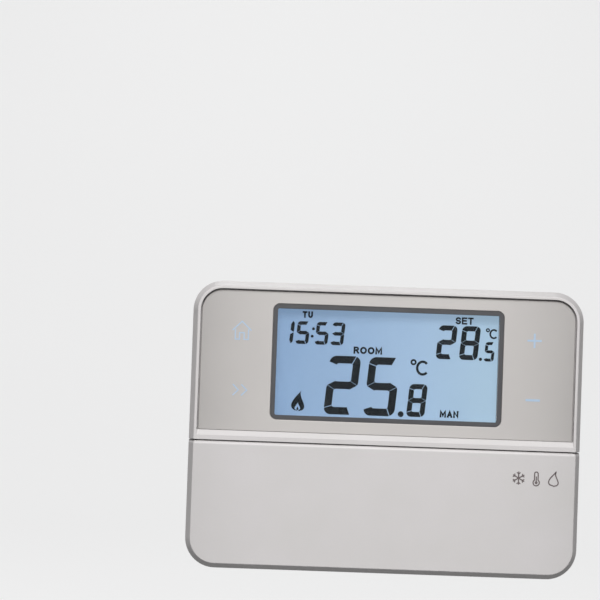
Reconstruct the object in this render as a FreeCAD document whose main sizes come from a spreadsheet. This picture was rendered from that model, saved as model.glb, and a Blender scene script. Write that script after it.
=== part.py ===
"""Wall thermostat: a front unit that plugs on to a wall plate.

The wall is the plane y = 0 and the front faces -Y, with +X to the right and +Z up. The origin is
the middle of the wall plate's back. Depths are counted from the wall towards the room, so a depth
of 10 is the plane y = -10. Every length is in millimetres.
"""
import FreeCAD, Part
import math
import os
import re
import Sketcher
from FreeCAD import Rotation, Vector

# The driving dimensions: alias and value. Each is set once, here.
SIZES = {
    # the outside of the unit
    "unit_width": 120, "unit_height": 88, "corner_radius": 9.15,
    "side_slope": 1.6, "side_slope_depth": 4.5, "crest_round": 0.35, "cover_round": 1.1, "shell_wall": 2,
    # the panel in the front housing, the rail under it and the line where the lower cover starts
    "rim_width": 2.4, "panel_recess": 1, "panel_thickness": 1.6, "groove_gap": 0.45,
    "shelf_thickness": 1.6, "rail_height": 1.5, "slope_height": 1.6,
    "split_from_top": 48.9, "split_gap": 0.3, "panel_edge_round": 0.25,
    # the display
    "display_from_top": 24.25, "frame_width": 70.6, "frame_height": 35.3, "frame_band": 1.3,
    "frame_corner": 2, "frame_inset": 0.1, "lip_thickness": 0.5, "rebate": 0.6,
    "window_thickness": 0.8, "gasket_thickness": 0.5, "gasket_width": 2.8,
    "glass_width": 74, "glass_height": 39, "glass_thickness": 1.05, "glass_drop": 0.6,
    "contact_ledge": 3.4, "strip_height": 2.2, "diffuser_thickness": 2.6,
    "holder_wall": 1.8, "holder_ledge": 2, "led_width": 3.5, "led_height": 2.8,
    "led_thickness": 1.9, "led_pitch": 24,
    # touch keys, placed from the middle of the display
    "key_x": 44.8, "key_z": 9.07, "pad_radius": 3.5,
    # clearances
    "fit_gap": 0.15, "slide_gap": 0.3, "seat_gap": 0.2, "contact_gap": 0.1, "press_gap": 0.05,
    # wall plate
    "plate_depth": 5, "plate_inset": 3, "plate_floor": 2, "plate_rim": 1.8,
    "screw_spacing": 60, "slot_length": 8, "slot_width": 4.2,
    "cable_width": 26, "cable_height": 18,
    "arm_x": 36, "arm_z": 35, "arm_low_x": 25, "arm_low_z": 36.5, "arm_width": 6,
    "arm_thickness": 1.6, "arm_reach": 3.6, "nose_height": 0.2, "nose_length": 0.8,
    # rear cover, board and their screws
    "rear_thickness": 1.6, "board_standoff": 2.6, "board_thickness": 1.6, "board_margin": 1,
    "case_screw_inset": 10, "case_screw_top": 8.5, "case_screw_left": 10.5, "case_screw_low": 7,
    "case_screw_right": 7, "case_screw_side": 22,
    "boss_radius": 2.6, "pilot_radius": 1.1, "pilot_depth": 7,
    "screw_radius": 1.05, "screw_clearance": 1.4, "head_radius": 2, "head_thickness": 1.6,
    "drive_width": 0.7, "drive_depth": 0.9,
    "board_screw_inset": 11, "board_screw_rise": 4.75, "board_screw_low_x": 3, "board_screw_low_z": 35.5,
    # terminal block on the wall plate, and the plug that meets it
    "pole_pitch": 5, "block_right": 48, "block_top": 16, "bay_height": 12, "bay_front": 11,
    "socket_height": 8, "socket_front": 7.8, "block_end": 1, "block_floor": 0.6,
    "cage_width": 3.6, "cage_length": 6, "cage_wall": 0.9, "cage_front": 8.7,
    "terminal_screw_radius": 1.2, "terminal_head_radius": 1.6, "terminal_head_thickness": 1.6,
    "strip_width": 2, "strip_thickness": 0.5, "pin_size": 1.2, "pin_drop": 16.5, "pin_clear": 2.4,
    "pin_tail": 0.5,
    "recess_gap": 0.4, "recess_wall": 1.2, "header_height": 4, "header_thickness": 1.2,
    # battery tray and cells
    "battery_radius": 5.25, "battery_length": 44.5, "nub_radius": 1.9, "nub_length": 1,
    "cell_gap": 0.8, "cell_cover_gap": 0.8, "tray_offset": 0.4, "tray_wall": 1.5, "tray_floor": 1.4,
    "tray_low": 34.15, "tray_flange": 1.2, "divider": 0.5,
    "contact_thickness": 0.4, "spring_length": 4, "spring_wire": 0.35,
    "spring_base": 3.6, "spring_tip": 2.4, "leg_width": 1.6,
    # other parts on the board
    "relay_length": 20.5, "relay_width": 7.2, "relay_height": 10.2, "relay_z": 10.5,
    "capacitor_radius": 2.5, "capacitor_height": 8, "capacitor_x": 7, "capacitor_z": 22.3,
    "switch_z": 29.2, "switch_side": 6, "switch_height": 3.5,
    "plunger_radius": 1.5, "plunger_rise": 0.9, "button_radius": 1.7, "button_flange": 2.5,
    "button_play": 0.5, "sensor_z": 36, "sensor_rise": 6, "bead_radius": 1.2, "lead_radius": 0.25,
    "lead_spacing": 1.2, "chip_side": 12, "chip_thickness": 1.5, "crystal_radius": 0.95,
    "crystal_length": 6.2,
    # lower cover and its guides
    "rib_depth": 0.8, "rib_length": 8, "rib_start": 2, "rib_back": 12, "rib_thickness": 2,
    # vents
    "vent_width": 1.6, "vent_pitch": 4, "vent_back": 9, "vent_front": 18,
}
POLES = 4
VENTS = 7

# Lengths and places that follow from the driving dimensions, as expressions.
DERIVED = {
    # depths
    "unit_depth": "cell_depth + battery_radius + cell_cover_gap + shell_wall",
    "head_back": "plate_depth + seat_gap",
    "panel_face": "unit_depth - panel_recess",
    "shelf_face": "panel_face - panel_thickness",
    "shelf_back": "shelf_face - shelf_thickness",
    "rear_face": "head_back + rear_thickness",
    "board_back": "rear_face + board_standoff",
    "board_face": "board_back + board_thickness",
    "glass_face": "shelf_back - gasket_thickness",
    "glass_middle": "glass_face - glass_thickness",
    "glass_back": "glass_middle - glass_thickness",
    "diffuser_back": "glass_back - diffuser_thickness",
    "frame_face": "panel_face - frame_inset",
    "cover_inside": "unit_depth - shell_wall",
    "tray_back": "board_face + seat_gap",
    "tray_inside": "tray_back + tray_floor",
    "cell_depth": "tray_inside + contact_gap + battery_radius",
    "roof_back": "bay_front + recess_gap",
    "roof_face": "roof_back + recess_wall",
    # across, to the right
    "half_width": "unit_width / 2",
    "core_half": "half_width - shell_wall - slide_gap",
    "recess_half": "half_width - rim_width",
    "plate_half": "half_width - plate_inset",
    "sight_half": "frame_width / 2 - frame_band",
    "tray_left": "shell_wall + tray_offset - core_half",
    "bay_left": "tray_left + tray_wall",
    "bay_right": "bay_left + battery_length + spring_length + 2 * contact_thickness",
    "tray_right": "bay_right + tray_wall",
    "block_half": "pole_pitch * 2 + block_end",
    "block_x": "block_right - block_half",
    "recess_left": "block_x - block_half - recess_gap - recess_wall",
    "recess_right": "block_x + block_half + recess_gap + recess_wall",
    "tongue_left": "bay_right - 3 * leg_width",
    "tongue_right": "recess_left - slide_gap",
    "part_x": "tongue_right - board_margin - relay_length / 2",
    "flange_left": "boss_radius + slide_gap + case_screw_left - half_width",
    # up and down
    "top": "unit_height / 2",
    "split": "top - split_from_top",
    "rail_bottom": "split + split_gap / 2",
    "cover_top": "split - split_gap / 2",
    "rail_top": "split + rail_height",
    "panel_bottom": "rail_top + slope_height",
    "core_bottom": "shell_wall + slide_gap - top",
    "cavity_step": "rail_bottom + shell_wall",
    "plate_top": "top - plate_inset",
    "display_z": "top - display_from_top",
    "sight_rise": "frame_height / 2 - frame_band",
    "glass_z": "display_z - glass_drop",
    "glass_bottom": "glass_z - glass_height / 2",
    "glass_top": "glass_z + glass_height / 2",
    "rear_glass_bottom": "glass_bottom + contact_ledge",
    "bay_top": "0 - block_top",
    "bay_bottom": "bay_top - bay_height",
    "block_bottom": "bay_bottom - socket_height",
    "pin_z": "bay_top - pin_drop",
    "cell_pitch": "2 * battery_radius + cell_gap",
    "tray_half": "cell_pitch / 2 + battery_radius + fit_gap + tray_wall",
    "tray_z": "tray_half - tray_low",
    "upper_cell_z": "tray_z + cell_pitch / 2",
    "lower_cell_z": "tray_z - cell_pitch / 2",
    "board_tail": "bay_bottom - recess_gap - recess_wall - slide_gap",
    "board_bottom": "core_bottom + shell_wall + board_margin",
    "board_step": "cavity_step + board_margin",
    "cage_z": "bay_top - bay_height / 2",
}

doc = FreeCAD.newDocument("wall_thermostat")
sheet = doc.addObject("Spreadsheet::Sheet", "Sizes")
for row, (alias, number) in enumerate(SIZES.items(), 1):
    sheet.set(f"A{row}", str(number))
    sheet.setAlias(f"A{row}", alias)
doc.recompute()
sub_parts = []


def formula(text):
    """An expression that names sizes, written out in cells of the sheet."""
    def spell(match):
        word = match.group(0)
        if word in DERIVED:
            return f"({formula(DERIVED[word])})"
        if word in SIZES:
            return f"Sizes.{word}"
        return word
    return re.sub(r"[a-z][a-z_]*", spell, str(text))


def value(text):
    """The present number of an expression."""
    return float(sheet.evalExpression(formula(text)))


def bind(thing, name, text):
    thing.setExpression(name, formula(text))


def node(thing, label):
    """Marks an object as a sub-part that is written out under its label."""
    thing.Label = label
    sub_parts.append(thing)
    return thing


# ---- sketches -----------------------------------------------------------------------------------

def body(label):
    return node(doc.addObject("PartDesign::Body", label), label)


def sketch(owner, name, plane, place):
    """A sketch on a plane of the body's origin, moved along its normal."""
    profile = owner.newObject("Sketcher::SketchObject", name)
    base = next(item for item in owner.Origin.OriginFeatures if item.Role == plane)
    profile.AttachmentSupport = [(base, "")]
    profile.MapMode = "FlatFace"
    bind(profile, "AttachmentOffset.Base.z", place)
    return profile


def hold(profile, kind, *where, size):
    """A dimension of the sketch that follows an expression."""
    index = profile.addConstraint(Sketcher.Constraint(kind, *where, value(size)))
    name = f"size_{index}"
    profile.renameConstraint(index, name)
    bind(profile, f"Constraints.{name}", size)


def polygon(*points):
    """A closed outline of straight edges; each point is two expressions."""
    def draw(profile):
        first = profile.GeometryCount
        corners = [Vector(value(across), value(up), 0) for across, up in points]
        count = len(corners)
        for step in range(count):
            profile.addGeometry(Part.LineSegment(corners[step], corners[(step + 1) % count]), False)
        for step, (across, up) in enumerate(points):
            line = first + step
            following = first + (step + 1) % count
            profile.addConstraint(Sketcher.Constraint("Coincident", line, 2, following, 1))
            hold(profile, "DistanceX", -1, 1, line, 1, size=across)
            hold(profile, "DistanceY", -1, 1, line, 1, size=up)
    return draw


def disc(across, up, radius):
    """A circle."""
    def draw(profile):
        centre = Vector(value(across), value(up), 0)
        circle = profile.addGeometry(Part.Circle(centre, Vector(0, 0, 1), value(radius)), False)
        hold(profile, "DistanceX", -1, 1, circle, 3, size=across)
        hold(profile, "DistanceY", -1, 1, circle, 3, size=up)
        hold(profile, "Radius", circle, size=radius)
    return draw


def rectangle(left, right, low, high, radius=None, rounded=(True, True, True, True)):
    """A rectangle whose corners, from the lower left one anticlockwise, may be rounded."""
    if radius is None:
        return polygon((left, low), (right, low), (right, high), (left, high))

    def draw(profile):
        bend = value(radius)
        corners = [(value(left), value(low)), (value(right), value(low)),
                   (value(right), value(high)), (value(left), value(high))]
        heading = [Vector(1, 0, 0), Vector(0, 1, 0), Vector(-1, 0, 0), Vector(0, -1, 0)]
        edges = []
        arcs = {}
        for side in range(4):
            start = Vector(*corners[side], 0) + heading[side] * (bend * rounded[side])
            after = (side + 1) % 4
            stop = Vector(*corners[after], 0) - heading[side] * (bend * rounded[after])
            edges.append(profile.addGeometry(Part.LineSegment(start, stop), False))
            if rounded[after]:
                centre = stop + heading[after] * bend
                circle = Part.Circle(centre, Vector(0, 0, 1), bend)
                opening = math.radians(90 * side - 90)
                arc = Part.ArcOfCircle(circle, opening, opening + math.pi / 2)
                arcs[after] = profile.addGeometry(arc, False)
        for side in range(4):
            after = (side + 1) % 4
            turn = "Horizontal" if side % 2 == 0 else "Vertical"
            profile.addConstraint(Sketcher.Constraint(turn, edges[side]))
            if after in arcs:
                profile.addConstraint(Sketcher.Constraint("Tangent", edges[side], 2, arcs[after], 1))
                profile.addConstraint(Sketcher.Constraint("Tangent", arcs[after], 2, edges[after], 1))
                hold(profile, "Radius", arcs[after], size=radius)
            else:
                profile.addConstraint(Sketcher.Constraint("Coincident", edges[side], 2, edges[after], 1))
        hold(profile, "DistanceY", -1, 1, edges[0], 1, size=low)
        hold(profile, "DistanceX", -1, 1, edges[1], 1, size=right)
        hold(profile, "DistanceY", -1, 1, edges[2], 1, size=high)
        hold(profile, "DistanceX", -1, 1, edges[3], 1, size=left)
    return draw


def centred(width, middle, height, radius=None, rounded=(True, True, True, True)):
    """A rectangle about the unit's middle line."""
    return rectangle(f"0 - ({width}) / 2", f"({width}) / 2", f"({middle}) - ({height}) / 2",
                     f"({middle}) + ({height}) / 2", radius, rounded)


TOP_CORNERS = (False, False, True, True)
LOWER_CORNERS = (True, True, False, False)


def extrude(owner, kind, name, plane, start, length, shapes):
    profile = sketch(owner, name + "_outline", plane, start)
    for shape in shapes:
        shape(profile)
    feature = owner.newObject(kind, name)
    feature.Profile = profile
    bind(feature, "Length", length)
    doc.recompute()
    return feature


def pad(owner, name, low, high, *shapes, plane="XZ_Plane"):
    """Material between two places along the plane's normal; on XZ_Plane those are depths."""
    return extrude(owner, "PartDesign::Pad", name, plane, low, f"({high}) - ({low})", shapes)


def pocket(owner, name, low, high, *shapes, plane="XZ_Plane"):
    """A cut between two places along the plane's normal, which has to take some material."""
    before = owner.Shape.Volume
    feature = extrude(owner, "PartDesign::Pocket", name, plane, high, f"({high}) - ({low})", shapes)
    if owner.Shape.Volume >= before:
        raise RuntimeError(f"{owner.Label}: {name} cuts nothing")
    return feature


def round_edges(owner, name, radius, chosen):
    """Fillets the edges of the body's present shape that a test picks out."""
    picked = [f"Edge{number}" for number, edge in enumerate(owner.Shape.Edges, 1) if chosen(edge)]
    base = owner.Tip
    feature = owner.newObject("PartDesign::Fillet", name)
    feature.Base = (base, picked)
    bind(feature, "Radius", radius)
    doc.recompute()
    return feature


def slope_edges(owner, name, across, along, chosen):
    """Slopes the picked edges of a front: so far across the face, and so far back down the side."""
    picked = [f"Edge{number}" for number, edge in enumerate(owner.Shape.Edges, 1) if chosen(edge)]
    base = owner.Tip
    feature = owner.newObject("PartDesign::Chamfer", name)
    feature.Base = (base, picked)
    feature.ChamferType = "Two distances"
    bind(feature, "Size", along)
    bind(feature, "Size2", across)
    doc.recompute()
    return feature


def at_depth(edge, depth):
    """True for an edge that lies wholly at one depth."""
    box = edge.BoundBox
    return abs(box.YMin + value(depth)) < 1e-4 and abs(box.YMax + value(depth)) < 1e-4


# ---- plain blocks and rods ----------------------------------------------------------------------

def block(left, right, back, front, low, high):
    """A box between two places across, two depths and two heights."""
    thing = doc.addObject("Part::Box", "block")
    bind(thing, "Length", f"({right}) - ({left})")
    bind(thing, "Width", f"({front}) - ({back})")
    bind(thing, "Height", f"({high}) - ({low})")
    bind(thing, "Placement.Base.x", left)
    bind(thing, "Placement.Base.y", f"0 - ({front})")
    bind(thing, "Placement.Base.z", low)
    return thing


def rod(across, back, front, up, radius):
    """A cylinder that stands off the wall, between two depths."""
    thing = doc.addObject("Part::Cylinder", "rod")
    thing.Placement.Rotation = Rotation(Vector(1, 0, 0), 90)
    bind(thing, "Radius", radius)
    bind(thing, "Height", f"({front}) - ({back})")
    bind(thing, "Placement.Base.x", across)
    bind(thing, "Placement.Base.y", f"0 - ({back})")
    bind(thing, "Placement.Base.z", up)
    return thing


def bar(left, right, depth, up, radius):
    """A cylinder that lies across, between two places."""
    thing = doc.addObject("Part::Cylinder", "bar")
    thing.Placement.Rotation = Rotation(Vector(0, 1, 0), 90)
    bind(thing, "Radius", radius)
    bind(thing, "Height", f"({right}) - ({left})")
    bind(thing, "Placement.Base.x", left)
    bind(thing, "Placement.Base.y", f"0 - ({depth})")
    bind(thing, "Placement.Base.z", up)
    return thing


def fused(*pieces):
    thing = doc.addObject("Part::MultiFuse", "fused")
    thing.Shapes = list(pieces)
    return thing


def less(base, *tools):
    """The base with every tool taken out of it."""
    thing = base
    for tool in tools:
        result = doc.addObject("Part::Cut", "less")
        result.Base = thing
        result.Tool = tool
        thing = result
    return thing


def group(label, pieces):
    """Pieces that stay separate solids and share a node."""
    thing = doc.addObject("Part::Compound", label)
    thing.Links = list(pieces)
    return node(thing, label)


def pole_places():
    """The places across of the terminal block's poles."""
    return [f"block_x + ({pole} - {(POLES - 1) / 2}) * pole_pitch" for pole in range(POLES)]


def vent_slots(middle):
    """Narrow slots side by side, from vent_back to vent_front, on the XY plane."""
    slots = []
    for number in range(VENTS):
        across = f"({middle}) + ({number - VENTS // 2}) * vent_pitch"
        slots.append(rectangle(f"{across} - vent_width / 2", f"{across} + vent_width / 2",
                               "0 - vent_front", "0 - vent_back"))
    return slots


CASE_SCREWS = [("case_screw_inset - half_width", "top - case_screw_top"),
               ("half_width - case_screw_inset", "top - case_screw_top"),
               ("case_screw_left - half_width", "case_screw_low - top"),
               ("half_width - case_screw_right", "0 - case_screw_side")]
BOARD_SCREWS = [("board_screw_inset - half_width", "board_step + board_screw_rise"),
                ("half_width - board_screw_inset", "board_step + board_screw_rise"),
                ("board_screw_low_x", "0 - board_screw_low_z")]
# the snap arms: across, up, and which way each nose points
ARMS = [("0 - arm_x", "arm_z", 1), ("arm_x", "arm_z", 1), ("0 - arm_low_x", "0 - arm_low_z", -1)]


# ---- wall plate and its terminals ---------------------------------------------------------------

def make_wall_plate():
    plate = body("wall_plate")
    outline = ("0 - plate_half", "plate_half", "0 - plate_top", "plate_top")
    pad(plate, "plate", 0, "plate_depth", rectangle(*outline, "corner_radius - plate_inset"))
    inside = ("plate_rim - plate_half", "plate_half - plate_rim",
              "plate_rim - plate_top", "plate_top - plate_rim")
    pocket(plate, "dish", "plate_floor", "plate_depth",
           rectangle(*inside, "corner_radius - plate_inset - plate_rim"))
    pocket(plate, "cable_entry", 0, "plate_floor", centred("cable_width", 0, "cable_height", 2))
    reach = "(slot_length / 2)"
    spread = "(slot_width / 2)"
    slots = []
    for side in ("0 - screw_spacing / 2", "screw_spacing / 2"):
        slots.append(rectangle(f"{side} - {reach}", f"{side} + {reach}", f"0 - {spread}", spread,
                               "slot_width / 2 - 0.001"))
        slots.append(rectangle(f"0 - {spread}", spread, f"{side} - {reach}", f"{side} + {reach}",
                               "slot_width / 2 - 0.001"))
    pocket(plate, "screw_slots", 0, "plate_floor", *slots)
    for number, (middle, rise, outward) in enumerate(ARMS, 1):
        pad(plate, f"snap_arm_{number}", "plate_floor", "rear_face + arm_reach",
            rectangle(f"{middle} - arm_width / 2", f"{middle} + arm_width / 2",
                      f"{rise} - arm_thickness / 2", f"{rise} + arm_thickness / 2"))
        nose = f"{rise} + {outward} * arm_thickness / 2"
        edge = f"{nose} + {outward} * nose_height"
        low, high = (edge, nose) if outward < 0 else (nose, edge)
        pad(plate, f"snap_nose_{number}", "rear_face + seat_gap", "rear_face + seat_gap + nose_length",
            rectangle(f"{middle} - arm_width / 2", f"{middle} + arm_width / 2", low, high))
    near = "(block_half + press_gap)"
    ribs = [rectangle(f"block_x - {near} - plate_rim", f"block_x - {near}", "block_bottom", "bay_top"),
            rectangle(f"block_x + {near}", f"block_x + {near} + plate_rim", "block_bottom", "bay_top")]
    pad(plate, "block_ribs", "plate_floor", "plate_depth - seat_gap", *ribs)


def make_terminal_block():
    """A housing with a bay for each clamp, open at the top for the wire, and a socket below it."""
    housing = body("terminal_block")
    sides = ("block_x - block_half", "block_x + block_half")
    pad(housing, "bay", "plate_floor", "bay_front", rectangle(*sides, "bay_bottom", "bay_top"))
    pad(housing, "socket", "plate_floor", "socket_front", rectangle(*sides, "block_bottom", "bay_bottom"))
    floor = "(plate_floor + block_floor)"
    strip_back = f"({floor} + cage_wall + press_gap)"
    for number, place in enumerate(pole_places(), 1):
        half = "(cage_width / 2 + fit_gap)"
        pocket(housing, f"clamp_bay_{number}", "cage_z - cage_length / 2 - fit_gap", "bay_top",
               rectangle(f"{place} - {half}", f"{place} + {half}",
                         "0 - cage_front - fit_gap", f"0 - {floor}"), plane="XY_Plane")
        half = "(strip_width / 2 + fit_gap)"
        pocket(housing, f"strip_way_{number}", "block_bottom + block_end", "bay_top",
               rectangle(f"{place} - {half}", f"{place} + {half}",
                         f"0 - {strip_back} - strip_thickness - fit_gap",
                         f"0 - {strip_back} + press_gap"), plane="XY_Plane")
        pocket(housing, f"plug_way_{number}", strip_back, "socket_front",
               rectangle(f"{place} - {half}", f"{place} + {half}",
                         "pin_z - pin_size", "pin_z + pin_size + strip_thickness"))
    pocket(housing, "screw_ways", "cage_front - cage_wall", "bay_front",
           *[disc(place, "cage_z", "terminal_head_radius + fit_gap") for place in pole_places()])


def make_terminal_metal():
    """Four clamps, their screws and the strips that lead down to the plug."""
    back = "(plate_floor + block_floor + contact_gap)"
    cages = []
    screws = []
    strips = []
    for place in pole_places():
        outer = block(f"{place} - cage_width / 2", f"{place} + cage_width / 2", back, "cage_front",
                      "cage_z - cage_length / 2", "cage_z + cage_length / 2")
        wire_way = "(cage_width - cage_wall) / 2"
        hollow = block(f"{place} - {wire_way}", f"{place} + {wire_way}", f"{back} + cage_wall",
                       "cage_front - cage_wall", "cage_z - cage_length", "cage_z + cage_length")
        thread = rod(place, "cage_front - 2 * cage_wall", "cage_front + cage_wall", "cage_z",
                     "terminal_screw_radius + press_gap")
        cages.append(less(outer, hollow, thread))
        shank = rod(place, "cage_front - 3 * cage_wall", "cage_front + press_gap", "cage_z",
                    "terminal_screw_radius")
        head_front = "(cage_front + press_gap + terminal_head_thickness)"
        head = rod(place, "cage_front + press_gap", head_front, "cage_z", "terminal_head_radius")
        cut = block(f"{place} - drive_width / 2", f"{place} + drive_width / 2",
                    f"{head_front} - drive_depth", f"{head_front} + 1",
                    "cage_z - 2 * terminal_head_radius", "cage_z + 2 * terminal_head_radius")
        screws.append(less(fused(shank, head), cut))
        start = f"({back} + cage_wall + press_gap)"
        reach = "(pin_size / 2 + contact_gap)"
        half = "strip_width / 2"
        flat = block(f"{place} - {half}", f"{place} + {half}", start, f"{start} + strip_thickness",
                     f"pin_z - {reach} - strip_thickness", "cage_z + cage_length / 2")
        forks = []
        for low in (f"pin_z - {reach} - strip_thickness", f"pin_z + {reach}"):
            forks.append(block(f"{place} - {half}", f"{place} + {half}", start,
                               "socket_front - seat_gap", low, f"{low} + strip_thickness"))
        strips.append(fused(flat, *forks))
    group("terminal_clamps", cages)
    group("terminal_screws", screws)
    group("contact_strips", strips)


def make_plug():
    """The header under the board's tail and its four pins."""
    pins = []
    for place in pole_places():
        pins.append(block(f"{place} - pin_size / 2", f"{place} + pin_size / 2",
                          "plate_floor + pin_clear", "board_face + pin_tail",
                          "pin_z - pin_size / 2", "pin_z + pin_size / 2"))
    group("connector_pins", pins)
    header = body("pin_header")
    pad(header, "header", "board_back - header_thickness", "board_back",
        rectangle("block_x - block_half + block_end", "block_x + block_half - block_end",
                  "pin_z - header_height / 2", "pin_z + header_height / 2"))
    half = "(pin_size / 2 + press_gap)"
    pocket(header, "pin_ways", "board_back - header_thickness", "board_back",
           *[rectangle(f"{place} - {half}", f"{place} + {half}", f"pin_z - {half}", f"pin_z + {half}")
             for place in pole_places()])


# ---- casing -------------------------------------------------------------------------------------

def make_front_housing():
    """The shell of the front unit: full size above the split, and inset behind the lower cover."""
    housing = body("front_housing")
    pad(housing, "upper_shell", "head_back", "unit_depth",
        rectangle("0 - half_width", "half_width", "rail_bottom", "top", "corner_radius", TOP_CORNERS))
    slope_edges(housing, "rim_slope", "side_slope", "side_slope_depth",
                lambda edge: at_depth(edge, "unit_depth") and edge.BoundBox.ZMax > value("rail_bottom") + 1)
    round_edges(housing, "rim_crest", "crest_round",
                lambda edge: at_depth(edge, "unit_depth") and edge.BoundBox.ZMax > value("rail_bottom") + 1)
    pad(housing, "lower_core", "head_back", "shelf_face",
        rectangle("0 - core_half", "core_half", "core_bottom", "rail_bottom",
                  "corner_radius - shell_wall - slide_gap", LOWER_CORNERS))
    pocket(housing, "panel_recess_cut", "shelf_face", "unit_depth",
           rectangle("0 - recess_half", "recess_half", "panel_bottom", "top - rim_width",
                     "corner_radius - rim_width", TOP_CORNERS))
    pocket(housing, "rail_slope", "0 - recess_half", "recess_half",
           polygon(("0 - unit_depth", "rail_top"), ("0 - panel_face", "panel_bottom"),
                   ("0 - unit_depth", "panel_bottom")), plane="YZ_Plane")
    pocket(housing, "upper_cavity", "head_back", "shelf_back",
           rectangle("shell_wall - half_width", "half_width - shell_wall", "cavity_step",
                     "top - shell_wall", "corner_radius - shell_wall", TOP_CORNERS))
    pocket(housing, "lower_cavity", "head_back", "shelf_back",
           rectangle("shell_wall - core_half", "core_half - shell_wall",
                     "core_bottom + shell_wall", "cavity_step + shell_wall",
                     "corner_radius - 2 * shell_wall - slide_gap", LOWER_CORNERS))
    pocket(housing, "display_opening", "shelf_back", "shelf_face",
           centred("2 * (sight_half + contact_gap)", "display_z", "2 * (sight_rise + contact_gap)"))
    pocket(housing, "tray_opening", "shelf_back", "shelf_face",
           rectangle("tray_left - fit_gap", "tray_right + fit_gap",
                     "tray_z - tray_half - fit_gap", "tray_z + tray_half + fit_gap"))
    pocket(housing, "button_hole", "shelf_back", "shelf_face",
           disc("part_x", "0 - switch_z", "button_radius + fit_gap"))
    pad(housing, "screw_bosses", "rear_face", "shelf_back + shelf_thickness / 2",
        *[disc(across, up, "boss_radius") for across, up in CASE_SCREWS])
    pocket(housing, "pilot_holes", "rear_face", "rear_face + pilot_depth",
           *[disc(across, up, "pilot_radius") for across, up in CASE_SCREWS])
    for name, near, far in (("left_guide", "0 - core_half", "rib_depth + slide_gap - core_half"),
                            ("right_guide", "core_half - rib_depth - slide_gap", "core_half")):
        pocket(housing, name, "rib_back - slide_gap", "rib_back + rib_thickness + slide_gap",
               rectangle(near, far, "core_bottom", "cover_top - rib_start + slide_gap"))
    pocket(housing, "upper_vents", "top - shell_wall", "top", *vent_slots(0), plane="XY_Plane")
    pocket(housing, "lower_vents", "core_bottom", "core_bottom + shell_wall", *vent_slots("part_x"),
           plane="XY_Plane")


def make_lower_cover():
    """The sliding cover: a front, two sides and a bottom, open at the back and at its top end."""
    cover = body("lower_cover")
    pad(cover, "cover_block", "head_back", "unit_depth",
        rectangle("0 - half_width", "half_width", "0 - top", "cover_top", "corner_radius",
                  LOWER_CORNERS))
    slope_edges(cover, "cover_slope", "side_slope", "side_slope_depth",
                lambda edge: at_depth(edge, "unit_depth") and edge.BoundBox.ZMin < value("cover_top") - 1)
    round_edges(cover, "cover_crest", "crest_round",
                lambda edge: at_depth(edge, "unit_depth") and edge.BoundBox.ZMin < value("cover_top") - 1)
    round_edges(cover, "cover_top_round", "cover_round",
                lambda edge: at_depth(edge, "unit_depth") and edge.BoundBox.ZMin > value("cover_top") - 1)
    pocket(cover, "cover_inside", "head_back", "cover_inside",
           rectangle("shell_wall - half_width", "half_width - shell_wall", "shell_wall - top",
                     "cover_top", "corner_radius - shell_wall", LOWER_CORNERS))
    for name, near, far in (("left_rib", "shell_wall / 2 - half_width", "rib_depth - core_half"),
                            ("right_rib", "core_half - rib_depth", "half_width - shell_wall / 2")):
        pad(cover, name, "rib_back", "rib_back + rib_thickness",
            rectangle(near, far, "cover_top - rib_start - rib_length", "cover_top - rib_start"))
    pocket(cover, "cover_vents", "0 - top", "shell_wall - top", *vent_slots("part_x"),
           plane="XY_Plane")


def make_rear_cover():
    """The plate that closes the front unit, with a roofed recess over the terminal block."""
    cover = body("rear_cover")
    pad(cover, "upper_plate", "head_back", "rear_face",
        rectangle("shell_wall + fit_gap - half_width", "half_width - shell_wall - fit_gap",
                  "cavity_step + fit_gap", "top - shell_wall - fit_gap",
                  "corner_radius - shell_wall - fit_gap", TOP_CORNERS))
    pad(cover, "lower_plate", "head_back", "rear_face",
        rectangle("shell_wall + fit_gap - core_half", "core_half - shell_wall - fit_gap",
                  "core_bottom + shell_wall + fit_gap", "cavity_step + shell_wall",
                  "corner_radius - 2 * shell_wall - slide_gap - fit_gap", LOWER_CORNERS))
    pad(cover, "recess_box", "head_back", "roof_face",
        rectangle("recess_left", "recess_right", "bay_bottom - recess_gap - recess_wall",
                  "bay_top + recess_gap + recess_wall"))
    pocket(cover, "recess", "head_back", "roof_back",
           rectangle("recess_left + recess_wall", "recess_right - recess_wall",
                     "bay_bottom - recess_gap", "bay_top + recess_gap"))
    pocket(cover, "block_window", "head_back", "socket_front + recess_gap",
           rectangle("recess_left + recess_wall", "recess_right - recess_wall",
                     "block_bottom - recess_gap", "bay_top + recess_gap"))
    pocket(cover, "screw_holes", "head_back", "rear_face",
           *[disc(across, up, "screw_clearance") for across, up in CASE_SCREWS])
    slots = []
    for middle, rise, _ in ARMS:
        half = "(arm_width / 2 + slide_gap)"
        depth = "(arm_thickness / 2 + nose_height + contact_gap)"
        slots.append(rectangle(f"{middle} - {half}", f"{middle} + {half}",
                               f"{rise} - {depth}", f"{rise} + {depth}"))
    pocket(cover, "arm_slots", "head_back", "rear_face", *slots)
    pad(cover, "board_posts", "rear_face", "board_back",
        *[disc(across, up, "boss_radius") for across, up in BOARD_SCREWS])
    pocket(cover, "board_pilots", "rear_face - rear_thickness / 2", "board_back",
           *[disc(across, up, "pilot_radius") for across, up in BOARD_SCREWS])


def make_fascia_panel():
    panel = body("fascia_panel")
    edge = "(recess_half - groove_gap)"
    pad(panel, "panel", "shelf_face", "panel_face",
        rectangle(f"0 - {edge}", edge, "panel_bottom + press_gap", "top - rim_width - groove_gap",
                  "corner_radius - rim_width - groove_gap", TOP_CORNERS))
    pocket(panel, "frame_opening", "shelf_face", "panel_face",
           centred("frame_width + 2 * contact_gap", "display_z", "frame_height + 2 * contact_gap",
                   "frame_corner + contact_gap"))
    round_edges(panel, "panel_edges", "panel_edge_round",
                lambda line: at_depth(line, "panel_face"))


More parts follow.
